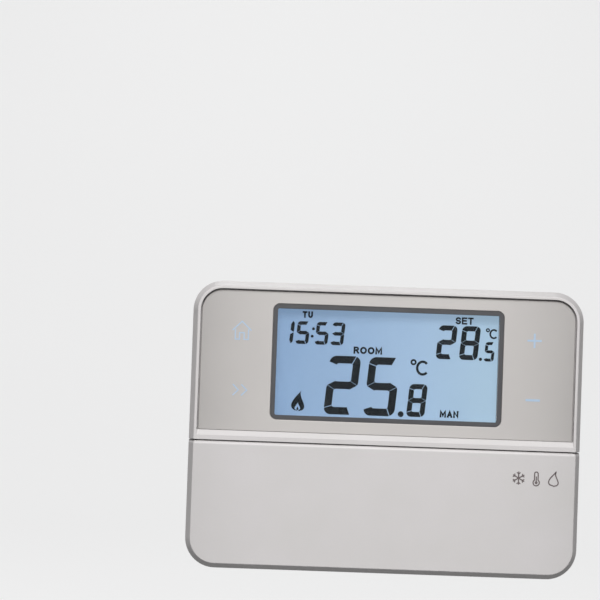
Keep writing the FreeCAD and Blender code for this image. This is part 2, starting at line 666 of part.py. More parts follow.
def screw(across, up, under_head, tip, towards):
    """A pan-head screw with a cross recess; towards is +1 when its head faces the room."""
    if towards > 0:
        shank = rod(across, tip, under_head, up, "screw_radius")
        head_low, head_high = under_head, f"({under_head} + head_thickness)"
        cut_low, cut_high = f"{head_high} - drive_depth", f"{head_high} + 1"
    else:
        shank = rod(across, under_head, tip, up, "screw_radius")
        head_low, head_high = f"({under_head} - head_thickness)", under_head
        cut_low, cut_high = f"{head_low} - 1", f"{head_low} + drive_depth"
    head = rod(across, head_low, head_high, up, "head_radius")
    arm = "(0.6 * head_radius)"
    half = "(drive_width / 2)"
    flat = block(f"{across} - {arm}", f"{across} + {arm}", cut_low, cut_high,
                 f"{up} - {half}", f"{up} + {half}")
    upright = block(f"{across} - {half}", f"{across} + {half}", cut_low, cut_high,
                    f"{up} - {arm}", f"{up} + {arm}")
    return less(fused(shank, head), flat, upright)


def make_screws():
    group("case_screws", [screw(across, up, "head_back", "rear_face + pilot_depth - 1", -1)
                          for across, up in CASE_SCREWS])
    group("board_screws", [screw(across, up, "board_face", "rear_face", 1)
                           for across, up in BOARD_SCREWS])


# ---- display ------------------------------------------------------------------------------------

def make_display():
    """From the room inwards: frame, window, gasket, two glasses, diffuser, and their holder."""
    frame = body("display_frame")
    pad(frame, "frame_block", "shelf_face", "frame_face",
        centred("frame_width", "display_z", "frame_height", "frame_corner"))
    pocket(frame, "sight", "frame_face - lip_thickness", "frame_face",
           centred("2 * sight_half", "display_z", "2 * sight_rise", "frame_corner - frame_band"))
    pocket(frame, "window_rebate", "shelf_face", "frame_face - lip_thickness",
           centred("2 * (sight_half + rebate)", "display_z", "2 * (sight_rise + rebate)"))
    window = body("display_window")
    pad(window, "pane", "shelf_face + press_gap", "shelf_face + press_gap + window_thickness",
        centred("2 * (sight_half + rebate - contact_gap)", "display_z",
                "2 * (sight_rise + rebate - contact_gap)"))
    gasket = body("display_gasket")
    pad(gasket, "gasket_block", "glass_face", "shelf_back",
        centred("2 * (sight_half + gasket_width)", "display_z", "2 * (sight_rise + gasket_width)"))
    pocket(gasket, "gasket_opening", "glass_face", "shelf_back",
           centred("2 * sight_half", "display_z", "2 * sight_rise"))
    side = "(glass_width / 2)"
    node(block(f"0 - {side}", side, "glass_middle", "glass_face", "glass_bottom", "glass_top"),
         "lcd_front_glass")
    node(block(f"0 - {side}", side, "glass_back", "glass_middle", "rear_glass_bottom", "glass_top"),
         "lcd_rear_glass")
    node(block(f"0 - {side}", side, "diffuser_back", "glass_back", "rear_glass_bottom", "glass_top"),
         "backlight_diffuser")
    strip_z = "(glass_bottom + contact_ledge / 2)"
    node(block(f"holder_ledge + contact_gap - {side}", f"{side} - holder_ledge - contact_gap",
               "board_face", "glass_middle", f"{strip_z} - strip_height / 2",
               f"{strip_z} + strip_height / 2"), "zebra_strip")
    holder = body("display_holder")
    pad(holder, "holder_block", "board_face", "glass_face - contact_gap",
        centred("glass_width + 2 * (fit_gap + holder_wall)", "glass_z",
                "glass_height + 2 * (fit_gap + holder_wall)", 1))
    pocket(holder, "glass_seat", "diffuser_back", "glass_face - contact_gap",
           centred("glass_width + 2 * fit_gap", "glass_z", "glass_height + 2 * fit_gap"))
    pocket(holder, "light_well", "board_face", "diffuser_back",
           rectangle(f"holder_ledge - {side}", f"{side} - holder_ledge", "glass_bottom - fit_gap",
                     "glass_top - holder_ledge"))
    leds = []
    for step in (-1, 0, 1):
        across = f"{step} * led_pitch"
        leds.append(block(f"{across} - led_width / 2", f"{across} + led_width / 2", "board_face",
                          "board_face + led_thickness", "display_z - led_height / 2",
                          "display_z + led_height / 2"))
    group("backlight_leds", leds)
    pads = [rod(f"{side} * key_x", "board_face", "shelf_back", f"display_z + {rise} * key_z", "pad_radius")
            for side in (-1, 1) for rise in (-1, 1)]
    group("touch_pads", pads)


# ---- board and what it carries ------------------------------------------------------------------

def make_board():
    board = body("main_board")
    limit = "(half_width - shell_wall - board_margin)"
    pad(board, "board_top", "board_back", "board_face",
        rectangle(f"0 - {limit}", limit, "board_step",
                  "top - shell_wall - board_margin", "corner_radius - shell_wall - board_margin",
                  TOP_CORNERS))
    pad(board, "board_tongue", "board_back", "board_face",
        rectangle("tongue_left", "tongue_right", "board_bottom", "board_step + board_margin"))
    pad(board, "board_end", "board_back", "board_face",
        rectangle("tongue_right", "recess_right", "board_bottom", "board_tail"))
    around = "boss_radius + slide_gap"
    holes = [disc(across, up, around) for across, up in CASE_SCREWS[:2]]
    holes += [disc(across, up, "screw_clearance") for across, up in BOARD_SCREWS]
    arms = []
    for middle, rise, _ in ARMS[:2]:
        half = "(arm_width / 2 + slide_gap)"
        thick = "(arm_thickness / 2 + slide_gap)"
        arms.append(rectangle(f"{middle} - {half}", f"{middle} + {half}",
                              f"{rise} - {thick}", f"{rise} + {thick} + nose_height"))
    pins = "(pin_size / 2 + press_gap)"
    ways = [rectangle(f"{place} - {pins}", f"{place} + {pins}", f"pin_z - {pins}", f"pin_z + {pins}")
            for place in pole_places()]
    pocket(board, "holes", "board_back", "board_face", *holes)
    pocket(board, "arm_ways", "board_back", "board_face", *arms)
    pocket(board, "pin_holes", "board_back", "board_face", *ways)


def make_board_parts():
    half = "relay_width / 2"
    node(block("part_x - relay_length / 2", "part_x + relay_length / 2", "board_face",
               "board_face + relay_height", f"0 - relay_z - {half}", f"{half} - relay_z"), "relay")
    group("capacitors", [rod(f"part_x + {side} * capacitor_x", "board_face",
                             "board_face + capacitor_height", "0 - capacitor_z", "capacitor_radius")
                         for side in (-1, 1)])
    half = "chip_side / 2"
    node(block(f"0 - {half}", half, "board_back - chip_thickness", "board_back",
               f"display_z - {half}", f"display_z + {half}"), "controller_chip")
    node(bar("chip_side", "chip_side + crystal_length", "board_back - crystal_radius", "display_z",
             "crystal_radius"), "clock_crystal")
    bead = doc.addObject("Part::Sphere", "bead")
    bind(bead, "Radius", "bead_radius")
    bind(bead, "Placement.Base.x", "part_x")
    bind(bead, "Placement.Base.y", "0 - board_face - sensor_rise")
    bind(bead, "Placement.Base.z", "0 - sensor_z")
    leads = [rod(f"part_x + {side} * lead_spacing / 2", "board_face", "board_face + sensor_rise",
                 "0 - sensor_z", "lead_radius") for side in (-1, 1)]
    node(fused(bead, *leads), "temperature_sensor")


def make_reset_button():
    """A push button behind the lower cover, on the plunger of a small switch."""
    half = "switch_side / 2"
    centre = ("part_x", "0 - switch_z")
    switch = body("reset_switch")
    pad(switch, "switch_case", "board_face", "board_face + switch_height",
        rectangle(f"part_x - {half}", f"part_x + {half}", f"0 - switch_z - {half}",
                  f"{half} - switch_z"))
    pocket(switch, "plunger_bore", "board_face + switch_height / 3", "board_face + switch_height",
           disc(*centre, "plunger_radius + press_gap"))
    plunger_face = "(board_face + switch_height + plunger_rise)"
    plunger = rod("part_x", "board_face + switch_height / 3 + button_play + contact_gap",
                  plunger_face, "0 - switch_z", "plunger_radius")
    node(plunger, "reset_plunger")
    stem = rod("part_x", plunger_face, "shelf_face - seat_gap", "0 - switch_z", "button_radius")
    flange = rod("part_x", "shelf_back - 3 * button_play", "shelf_back - button_play", "0 - switch_z",
                 "button_flange")
    node(fused(stem, flange), "reset_button")


# ---- batteries ----------------------------------------------------------------------------------

def make_tray():
    tray = body("battery_tray")
    low, high = "tray_z - tray_half", "tray_z + tray_half"
    pad(tray, "tray_block", "tray_back", "shelf_face",
        rectangle("tray_left", "tray_right", low, high))
    pad(tray, "flange", "shelf_back - tray_flange", "shelf_back",
        rectangle("flange_left", "tray_right + tray_flange", f"{low} - tray_flange",
                  f"{high} + tray_flange"))
    pocket(tray, "bay", "tray_inside", "shelf_face",
           rectangle("bay_left", "bay_right", f"{low} + tray_wall", f"{high} - tray_wall"))
    pad(tray, "cell_divider", "tray_back", "cell_depth",
        rectangle("bay_left + spring_length", "bay_right - spring_length",
                  "tray_z - divider / 2", "tray_z + divider / 2"))
    ways = [rectangle("bay_right - contact_thickness - press_gap", "bay_right + press_gap",
                      f"{cell} - leg_width / 2 - press_gap", f"{cell} + leg_width / 2 + press_gap")
            for cell in ("upper_cell_z", "lower_cell_z")]
    pocket(tray, "leg_ways", "tray_back", "tray_inside", *ways)


def make_cell(label, nub_end, side, up):
    """One round cell; side is +1 when its positive end points to the right."""
    far = f"{nub_end} - {side} * battery_length"
    shoulder = f"{nub_end} - {side} * nub_length"
    if side > 0:
        case = bar(far, shoulder, "cell_depth", up, "battery_radius")
        nub = bar(shoulder, nub_end, "cell_depth", up, "nub_radius")
    else:
        case = bar(shoulder, far, "cell_depth", up, "battery_radius")
        nub = bar(nub_end, shoulder, "cell_depth", up, "nub_radius")
    node(fused(case, nub), label)


def conical_spring(root, side, up):
    """A coil spring that widens from its tip, at the cell, to its root, as one swept wire."""
    wire = value("spring_wire")
    height = value("spring_length") - 2 * wire - 2 * value("press_gap")
    tip = value("spring_tip")
    slope = math.degrees(math.atan((value("spring_base") - tip) / height))
    helix = Part.makeLongHelix(height / 3, height, tip, slope)
    section = Part.Wire(Part.makeCircle(wire, Vector(tip, 0, 0), Vector(0, 1, 0)))
    spring = doc.addObject("Part::Feature", "spring")
    spring.Shape = Part.Wire(helix).makePipeShell([section], True, True)
    lift = wire + value("press_gap") + height
    place = Vector(value(root) + side * lift, -value("cell_depth"), value(up))
    spring.Placement = FreeCAD.Placement(place, Rotation(Vector(0, 1, 0), -90 * side))
    return spring


def make_batteries():
    right = "(bay_right - contact_thickness)"
    left = "(bay_left + contact_thickness)"
    make_cell("battery_upper", f"({right} - press_gap)", 1, "upper_cell_z")
    make_cell("battery_lower", f"({left} + press_gap)", -1, "lower_cell_z")
    reach = "(battery_radius - divider)"
    floor = "(tray_inside + press_gap)"
    front = "(cell_depth + battery_radius / 2)"
    bridge = block("bay_left", left, floor, front, f"lower_cell_z - {reach}", f"upper_cell_z + {reach}")
    plates = [bridge]
    for cell in ("upper_cell_z", "lower_cell_z"):
        plate = block(right, "bay_right", floor, front, f"{cell} - {reach}", f"{cell} + {reach}")
        leg = block(right, "bay_right", "board_face", floor, f"{cell} - leg_width / 2",
                    f"{cell} + leg_width / 2")
        plates.append(fused(plate, leg))
    group("battery_plates", plates)
    group("battery_springs", [conical_spring(left, 1, "upper_cell_z"),
                              conical_spring(right, -1, "lower_cell_z")])


def write_out():
    """Checks every object, then writes each sub-part to its own file."""
    doc.recompute()
    for thing in doc.Objects:
        if {"Invalid", "Error"} & set(thing.State):
            raise RuntimeError(f"{thing.Name} ({thing.Label}) failed: {thing.State}")
    for thing in sub_parts:
        if thing.Shape.isNull() or not thing.Shape.isValid():
            raise RuntimeError(f"{thing.Label} has no valid shape")
    os.makedirs("parts", exist_ok=True)
    for thing in sub_parts:
        thing.Shape.exportStep(f"parts/{thing.Label}.step")
        print(f"{thing.Label}: {len(thing.Shape.Solids)} solid(s), {thing.Shape.Volume:.1f} mm3")


make_wall_plate()
make_terminal_block()
make_terminal_metal()
make_plug()
make_front_housing()
make_lower_cover()
make_rear_cover()
make_fascia_panel()
make_screws()
make_display()
make_board()
make_board_parts()
make_reset_button()
make_tray()
make_batteries()
write_out()
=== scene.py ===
import math

import bpy
import numpy as np
from mathutils import Matrix, Vector


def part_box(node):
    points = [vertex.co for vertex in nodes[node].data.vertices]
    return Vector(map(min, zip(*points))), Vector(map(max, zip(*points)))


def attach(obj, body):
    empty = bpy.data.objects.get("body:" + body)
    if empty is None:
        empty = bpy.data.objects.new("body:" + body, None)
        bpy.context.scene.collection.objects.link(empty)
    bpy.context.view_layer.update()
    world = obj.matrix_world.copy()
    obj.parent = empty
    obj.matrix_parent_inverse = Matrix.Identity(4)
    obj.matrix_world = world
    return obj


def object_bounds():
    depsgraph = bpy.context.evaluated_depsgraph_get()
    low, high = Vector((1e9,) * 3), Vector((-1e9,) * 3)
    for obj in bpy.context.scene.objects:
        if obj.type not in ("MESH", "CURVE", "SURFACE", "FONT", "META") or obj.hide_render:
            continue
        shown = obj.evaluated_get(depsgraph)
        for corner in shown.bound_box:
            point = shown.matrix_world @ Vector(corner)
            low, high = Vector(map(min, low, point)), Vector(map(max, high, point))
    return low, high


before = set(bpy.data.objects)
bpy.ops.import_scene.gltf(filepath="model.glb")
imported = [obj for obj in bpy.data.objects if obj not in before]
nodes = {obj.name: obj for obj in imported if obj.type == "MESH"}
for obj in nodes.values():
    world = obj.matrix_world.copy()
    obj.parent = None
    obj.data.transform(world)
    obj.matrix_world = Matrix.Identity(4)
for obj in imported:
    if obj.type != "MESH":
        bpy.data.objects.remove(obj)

# The looks of a wall thermostat: finishes for its moulded, glass and metal parts, the lit
# display with its figures, the printed marks, and a plain studio. All places come from the
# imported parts, and every length below is written in millimetres.
MM = 0.001
cad_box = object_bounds()


# ---------------------------------------------------------------- shapes

def arc(centre, radius, start, end, count=9):
    """Points on a circle: centre plus radius times (cos, sin) of an angle that runs evenly
    from start to end, in degrees."""
    angle = np.radians(np.linspace(start, end, count))
    return np.stack([centre[0] + radius * np.cos(angle), centre[1] + radius * np.sin(angle)], axis=1)


def even_points(path, count, trim=0.0):
    """The path walked at an even pace: its running length is cut into equal steps, after trim
    is taken off both ends, and each place is read back from the running length."""
    step = np.linalg.norm(np.diff(path, axis=0), axis=1)
    run = np.concatenate([[0.0], np.cumsum(step)])
    at = np.linspace(trim, run[-1] - trim, count)
    return np.stack([np.interp(at, run, path[:, 0]), np.interp(at, run, path[:, 1])], axis=1)


def strip(one_edge, other_edge):
    """The flat surface between two edges of equal count: a grid with one parameter along the
    edges and one across."""
    return np.stack([np.asarray(one_edge), np.asarray(other_edge)], axis=1)


def ribbon(path, width, closed=False, square=False):
    """A line of even width: each point of the path moves half the width to either side, along
    the normal, which is the path's own direction turned a quarter turn. At a corner the move
    grows by one over the cosine of half the turn, so both runs keep their width. Square ends
    run on past the path by half the width."""
    path = np.array(path, float)
    if square:
        for end, inner in ((0, 1), (-1, -2)):
            run = path[end] - path[inner]
            path[end] += run / np.linalg.norm(run) * width / 2
    ahead = np.roll(path, -1, axis=0) - path
    behind = path - np.roll(path, 1, axis=0)
    if not closed:
        ahead[-1], behind[0] = behind[-1], ahead[0]
    ahead /= np.linalg.norm(ahead, axis=1)[:, None]
    behind /= np.linalg.norm(behind, axis=1)[:, None]
    along = ahead + behind
    along /= np.linalg.norm(along, axis=1)[:, None]
    side = np.stack([-along[:, 1], along[:, 0]], axis=1)
    spread = width / 2 / np.maximum((along * ahead).sum(axis=1), 0.5)
    grid = np.stack([path - side * spread[:, None], path + side * spread[:, None]], axis=1)
    return np.concatenate([grid, grid[:1]]) if closed else grid


def slab(flat, depth, thickness):
    """A thin closed plate from a flat grid of (x, z) places: the grid lies once at the depth
    of its face and once behind it by the thickness, and walls join their edges. A grid that
    ends where it began is a ring, and has no end walls. It faces the front, so a grid that
    runs the other way round is turned over first."""
    along, across = np.diff(flat, axis=0)[:, :-1], np.diff(flat, axis=1)[:-1]
    if (along[..., 0] * across[..., 1] - along[..., 1] * across[..., 0]).sum() < 0:
        flat = flat[:, ::-1]
    closed = np.allclose(flat[0], flat[-1])
    flat = flat[:-1] if closed else flat
    n, m = flat.shape[:2]
    face = np.stack([flat[..., 0], np.full((n, m), -depth), flat[..., 1]], axis=2).reshape(-1, 3)
    back = face + [0.0, thickness, 0.0]
    front_id = np.arange(n * m).reshape(n, m)
    front_id = np.concatenate([front_id, front_id[:1]]) if closed else front_id
    back_id = front_id + n * m

    def quads(a, b, c, d):
        return np.stack([a.ravel(), b.ravel(), c.ravel(), d.ravel()], axis=1)

    def cells(grid):
        return grid[:-1, :-1], grid[1:, :-1], grid[1:, 1:], grid[:-1, 1:]

    f0, f1, f2, f3 = cells(front_id)
    b0, b1, b2, b3 = cells(back_id)
    faces = [quads(f0, f1, f2, f3), quads(b3, b2, b1, b0)]
    walls = [(front_id[:, 0], back_id[:, 0]), (front_id[::-1, -1], back_id[::-1, -1])]
    if not closed:
        walls += [(front_id[-1], back_id[-1]), (front_id[0, ::-1], back_id[0, ::-1])]
    for fore, aft in walls:
        faces.append(quads(fore[1:], fore[:-1], aft[:-1], aft[1:]))
    return np.concatenate([face, back]), np.concatenate(faces)


def mesh_piece(name, shells, material, body):
    """One object from closed shells, each a pair of points in millimetres and faces, which
    rides on a body of the thermostat."""
    points, faces, count = [], [], 0
    for shell_points, shell_faces in shells:
        points.append(shell_points)
        faces.extend((shell_faces + count).tolist())
        count += len(shell_points)
    mesh = bpy.data.meshes.new(name)
    mesh.from_pydata((np.concatenate(points) * MM).tolist(), [], faces)
    mesh.materials.append(material)
    piece = bpy.data.objects.new(name, mesh)
    bpy.context.scene.collection.objects.link(piece)
    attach(piece, body)


# ---------------------------------------------------------------- figures and symbols

# Points along each edge of a bar, half the width that a flame keeps at its tip, how much wider
# M and O are drawn than other capitals, and the lit bars of each figure.
BAR_POINTS, BLUNT_TIP, WIDE_LETTER = 24, 0.02, 1.2
LIT = {"0": "abcdef", "1": "bc", "2": "abged", "3": "abgcd", "4": "fgbc", "5": "afgcd",
       "6": "afgedc", "7": "abc", "8": "abcdefg", "9": "abcdfg"}


def figure_bars(width, height, stroke, corner, gap):
    """The seven bars of a figure, each a strip between its outer and inner edge. The figure is
    two rounded rings, one on the other, that share a middle bar as thick as the stroke. Cut
    lines run from the rings' outer edge to their inner corners: low on the left corners and
    steep on the right ones, so each side bar on the right carries its corner round. The lower
    bars are the upper ones turned over about half the height."""
    middle, top = height / 2, height - corner
    right, low = width - corner, middle - stroke / 2 + corner
    fall = math.degrees(math.asin((stroke / 2 - corner) / corner))
    waist = corner - corner * math.cos(math.radians(fall))
    soft = 0.3 * stroke
    near, far = stroke + soft, width - stroke - soft
    under, over_g = height - stroke - soft, middle + stroke / 2 + soft
    cut_left, cut_right, inner_left, inner_right, inner_g = 175, 71, 165, 50, 230

    def edge(*stretches):
        return even_points(np.concatenate(stretches), BAR_POINTS, gap)

    def turned_over(grid):
        return grid * [1, -1] + [0, height]

    a = strip(edge(arc((corner, top), corner, cut_left, 90), arc((right, top), corner, 90, cut_right)),
              edge(arc((near, under), soft, inner_left, 90), arc((far, under), soft, 90, inner_right)))
    b = strip(edge(arc((right, top), corner, cut_right, 0), arc((right, low), corner, 0, fall)),
              edge(arc((far, under), soft, inner_right, 0), arc((far, over_g), soft, 0, 180 - inner_g)))
    f = strip(edge(arc((corner, top), corner, cut_left, 180), arc((corner, low), corner, 180, 180 - fall)),
              edge(arc((near, under), soft, inner_left, 180), arc((near, over_g), soft, 180, inner_g)))
    upper = edge([(waist, middle)], arc((near, over_g), soft, inner_g, 270),
                 arc((far, over_g), soft, 270, 540 - inner_g), [(width - waist, middle)])
    return {"a": a, "b": b, "f": f, "g": strip(upper, turned_over(upper)),
            "d": turned_over(a), "c": turned_over(b), "e": turned_over(f)}


def figures(text, left, base, width, height, stroke, pitch, corner, gap, slant):
    """A row of figures as flat grids: each figure's lit bars, moved along by the pitch, and
    leaned over by adding the slant times the height above the base to x."""
    grids = []
    for place, figure in enumerate(text):
        bars = figure_bars(width, height, stroke, corner, gap)
        for bar in LIT[figure]:
            x = left + place * pitch + bars[bar][..., 0] + slant * bars[bar][..., 1]
            grids.append(np.stack([x, base + bars[bar][..., 1]], axis=2))
    return grids


def dot(x, z, radius):
    """A round point: a square grid of two parameters pressed into a disc, each parameter times
    the root of one less half the square of the other."""
    u, v = np.meshgrid(np.linspace(-1.0, 1.0, 11), np.linspace(-1.0, 1.0, 11), indexing="ij")
    across, up = u * np.sqrt(1 - v * v / 2), v * np.sqrt(1 - u * u / 2)
    return np.stack([x + radius * across, z + radius * up], axis=2)


def flame_sides(x, z, width, height, lean):
    """The left and right edge of a flame, at heights that lie closer toward its tip. Its half
    width is a power of the height times a power of what is left above, scaled to half the width
    at its widest, with the blunt tip added all along. Its middle line sways by the lean: back
    by a sine of the height, and over by its fourth power."""
    up = 1 - np.linspace(1.0, 0.0, 30) ** 1.5
    half = up ** 0.55 * (1 - up) ** 1.65
    half = half / half.max() * width / 2 + BLUNT_TIP
    middle = x + lean * (up ** 4 - 0.35 * np.sin(up * math.pi))
    level = z + height * up
    return np.stack([middle - half, level], axis=1), np.stack([middle + half, level], axis=1)


def letter_lines(letter):
    """The strokes of a plain capital in a cell one wide and one high: straight runs, and arcs
    squeezed to the cell. The flag says that a stroke closes on itself."""
    bowl = arc((0, 0), 1.0, 90, -90, 14)
    cup = arc((0, 0), 1.0, 180, 360, 18)
    curl = arc((0, 0), 1.0, 25, 270, 22)
    strokes = {
        "T": [([(0, 1), (1, 1)], False), ([(0.5, 1), (0.5, 0)], False)],
        "U": [(np.concatenate([[(0, 1)], cup * [0.5, 0.4] + [0.5, 0.4], [(1, 1)]]), False)],
        "R": [(np.concatenate([[(0, 0), (0, 1)], bowl * [0.42, 0.25] + [0.52, 0.75], [(0, 0.5)]]),
               False), ([(0.5, 0.5), (1, 0)], False)],
        "O": [(arc((0, 0), 0.5, 0, 345, 24) + 0.5, True)],
        "M": [([(0, 0), (0, 1), (0.5, 0.2), (1, 1), (1, 0)], False)],
        "N": [([(0, 0), (0, 1), (1, 0), (1, 1)], False)],
        "A": [([(0, 0), (0.5, 1), (1, 0)], False), ([(0.2, 0.32), (0.8, 0.32)], False)],
        "E": [([(1, 1), (0, 1), (0, 0), (1, 0)], False), ([(0, 0.52), (0.85, 0.52)], False)],
        "S": [(np.concatenate([curl * [0.48, 0.26] + [0.5, 0.74],
                               (curl * [-0.5, -0.26] + [0.5, 0.26])[::-1]]), False)],
    }
    return strokes[letter]


def word(text, centre, height, width, line, space=0.24):
    """Capitals side by side: each cell is as wide as its share of the width, less the space
    between two letters, and its strokes are ribbons drawn half a line in from its edges."""
    shares = np.array([WIDE_LETTER if letter in "MO" else 1.0 for letter in text])
    cell = (width - space * (len(text) - 1)) / shares.sum()
    grids, left, foot = [], centre[0] - width / 2, centre[1] - height / 2
    for letter, share in zip(text, shares):
        for path, closed in letter_lines(letter):
            path = np.asarray(path, float) * [share * cell - line, height - line]
            path += [left + line / 2, foot + line / 2]
            grids.append(ribbon(path, line, closed, square=not closed))
        left += share * cell + space
    return grids


def shells(grids, depth, thickness, lap=0.0):
    """Flat grids made into thin plates, each a lap nearer the front than the one before it, so
    that strokes that cross lie on each other."""
    return [slab(np.asarray(grid, float), depth + lap * count, thickness)
            for count, grid in enumerate(grids)]


# ---------------------------------------------------------------- shared effects

def new_group(name, inputs, outputs):
    """A shader node group with named sockets: numbers with a start value, colours and vectors."""
    kinds = {"value": "NodeSocketFloat", "colour": "NodeSocketColor", "vector": "NodeSocketVector"}
    tree = bpy.data.node_groups.new(name, "ShaderNodeTree")
    for label, kind, start in inputs:
        socket = tree.interface.new_socket(name=label, in_out="INPUT", socket_type=kinds[kind])
        if start is not None:
            socket.default_value = start
    for label, kind in outputs:
        tree.interface.new_socket(name=label, in_out="OUTPUT", socket_type=kinds[kind])
    return tree, tree.nodes.new("NodeGroupInput"), tree.nodes.new("NodeGroupOutput")


def put(tree, kind, links=(), **settings):
    """A node with its settings, and its inputs joined to other sockets or set to values."""
    node = tree.nodes.new(kind)
    for name, value in settings.items():
        setattr(node, name, value)
    for socket, source in links:
        if isinstance(source, bpy.types.NodeSocket):
            tree.links.new(source, node.inputs[socket])
        else:
            node.inputs[socket].default_value = source
    return node


def noise(tree, vector, scale, detail=2.0, roughness=0.5):
    """Even noise over a vector, from 0 to 1."""
    return put(tree, "ShaderNodeTexNoise", [("Vector", vector), ("Scale", scale), ("Detail", detail),
                                            ("Roughness", roughness)]).outputs["Fac"]


def sum_of(tree, value, factor, added):
    """The value times a factor, with another value added."""
    return put(tree, "ShaderNodeMath", [(0, value), (1, factor), (2, added)],
               operation="MULTIPLY_ADD").outputs[0]


def product_of(tree, first, second):
    """Two values multiplied."""
    return put(tree, "ShaderNodeMath", [(0, first), (1, second)], operation="MULTIPLY").outputs[0]


def scaled_colour(tree, colour, factor):
    """A colour made lighter or darker by a factor."""
    return put(tree, "ShaderNodeVectorMath", [(0, colour), ("Scale", factor)],
               operation="SCALE").outputs[0]


def raised_by(tree, height, strength, reach):
    """A bump normal from a height, with its reach in millimetres."""
    return put(tree, "ShaderNodeBump", [("Strength", strength), ("Distance", reach * MM),
                                        ("Height", height)]).outputs[0]


def blend_of(tree, share, first, second):
    """A colour between two others."""
    return put(tree, "ShaderNodeMix", [("Factor", share), (6, first), (7, second)],
               data_type="RGBA").outputs[2]


def spread_of(tree, value, low, high):
    """A value stretched from a range to 0 to 1, and kept inside that."""
    return put(tree, "ShaderNodeMapRange", [("Value", value), ("From Min", low),
                                            ("From Max", high)]).outputs[0]


def moulded_grain():
    """Moulded plastic. Slow noise drifts the colour to a second tone, fine noise speckles it,
    and the two finest sizes give the spark-eroded grain as height and uneven gloss."""
    tree, given, out = new_group(
        "moulded_grain",
        [("Place", "vector", None), ("Colour", "colour", None), ("Tone", "colour", None),
         ("Drift size", "value", 40.0), ("Grain size", "value", 4200.0), ("Speckle", "value", 0.06),
         ("Gloss", "value", 0.45), ("Gloss spread", "value", 0.12)],
        [("Colour", "colour"), ("Roughness", "value"), ("Height", "value")])
    place = given.outputs["Place"]
    drift = spread_of(tree, noise(tree, place, given.outputs["Drift size"], 3.0), 0.3, 0.7)
    fine = noise(tree, place, given.outputs["Grain size"], 2.0, 0.6)
    toned = blend_of(tree, drift, given.outputs["Colour"], given.outputs["Tone"])
    swing = sum_of(tree, fine, 1.0, -0.5)
    speckle = sum_of(tree, swing, given.outputs["Speckle"], 1.0)
    rough = sum_of(tree, swing, given.outputs["Gloss spread"], given.outputs["Gloss"])
    tree.links.new(scaled_colour(tree, toned, speckle), out.inputs["Colour"])
    tree.links.new(rough, out.inputs["Roughness"])
    tree.links.new(sum_of(tree, drift, 0.15, fine), out.inputs["Height"])
    return tree


def drawn_metal():
    """Rolled, drawn or turned metal. Noise stretched along the work's direction gives fine
    lines in colour, gloss and height, and slow noise adds the dulled patches of handling."""
    tree, given, out = new_group(
        "drawn_metal",
        [("Place", "vector", None), ("Colour", "colour", None), ("Dull", "colour", None),
         ("Line size", "value", 2600.0), ("Patch size", "value", 260.0), ("Gloss", "value", 0.28)],
        [("Colour", "colour"), ("Roughness", "value"), ("Height", "value")])
    place = given.outputs["Place"]
    lines = noise(tree, place, given.outputs["Line size"], 3.0, 0.65)
    patch = spread_of(tree, noise(tree, place, given.outputs["Patch size"], 4.0, 0.6), 0.42, 0.68)
    dulled = blend_of(tree, sum_of(tree, patch, 0.6, sum_of(tree, lines, 0.5, -0.15)),
                      given.outputs["Colour"], given.outputs["Dull"])
    rough = sum_of(tree, patch, 0.18, sum_of(tree, lines, 0.16, given.outputs["Gloss"]))
    tree.links.new(dulled, out.inputs["Colour"])
    tree.links.new(rough, out.inputs["Roughness"])
    tree.links.new(lines, out.inputs["Height"])
    return tree


MOULDED = moulded_grain()
DRAWN = drawn_metal()


# ---------------------------------------------------------------- finishes

def new_finish(name, **shader_values):
    """A material with one Principled shader, its even values set on its own sockets."""
    material = bpy.data.materials.new(name)
    material.use_nodes = True
    tree = material.node_tree
    tree.nodes.clear()
    out = tree.nodes.new("ShaderNodeOutputMaterial")
    shader = tree.nodes.new("ShaderNodeBsdfPrincipled")
    for socket, value in shader_values.items():
        shader.inputs[socket.replace("_", " ")].default_value = value
    tree.links.new(shader.outputs[0], out.inputs["Surface"])
    place = tree.nodes.new("ShaderNodeTexCoord").outputs["Object"]
    return material, tree, shader, place


def stretched(tree, place, stretch):
    """The place scaled apart along the axes, so that noise on it runs in lines."""
    return put(tree, "ShaderNodeMapping", [("Vector", place), ("Scale", stretch)]).outputs[0]


def join_effect(tree, shader, effect, values, bump, reach, colour=True):
    """A shared effect placed in a material: colour, roughness and bump go to the shader."""
    group = tree.nodes.new("ShaderNodeGroup")
    group.node_tree = effect
    for socket, value in values.items():
        if isinstance(value, bpy.types.NodeSocket):
            tree.links.new(value, group.inputs[socket])
        else:
            group.inputs[socket].default_value = value
    if colour:
        tree.links.new(group.outputs["Colour"], shader.inputs["Base Color"])
    tree.links.new(group.outputs["Roughness"], shader.inputs["Roughness"])
    tree.links.new(raised_by(tree, group.outputs["Height"], bump, reach), shader.inputs["Normal"])
    return group


def tint(red, green, blue):
    return (red, green, blue, 1.0)


def plastic(name, colour, tone, gloss=0.45, grain=4200.0, drift=40.0, speckle=0.06, bump=0.12,
            reach=0.05, **shader_values):
    """Moulded plastic in one of the thermostat's colours."""
    material, tree, shader, place = new_finish(name, **shader_values)
    join_effect(tree, shader, MOULDED, {"Place": place, "Colour": tint(*colour), "Tone": tint(*tone),
                                        "Drift size": drift, "Grain size": grain, "Speckle": speckle,
                                        "Gloss": gloss}, bump, reach)
    return material


def metal(name, colour, dull, stretch, gloss=0.28):
    """A metal with its working lines along the axis that the stretch makes longest."""
    material, tree, shader, place = new_finish(name, Metallic=1.0)
    values = {"Place": stretched(tree, place, stretch), "Colour": tint(*colour), "Dull": tint(*dull),
              "Gloss": gloss}
    join_effect(tree, shader, DRAWN, values, 0.15, 0.03)
    return material


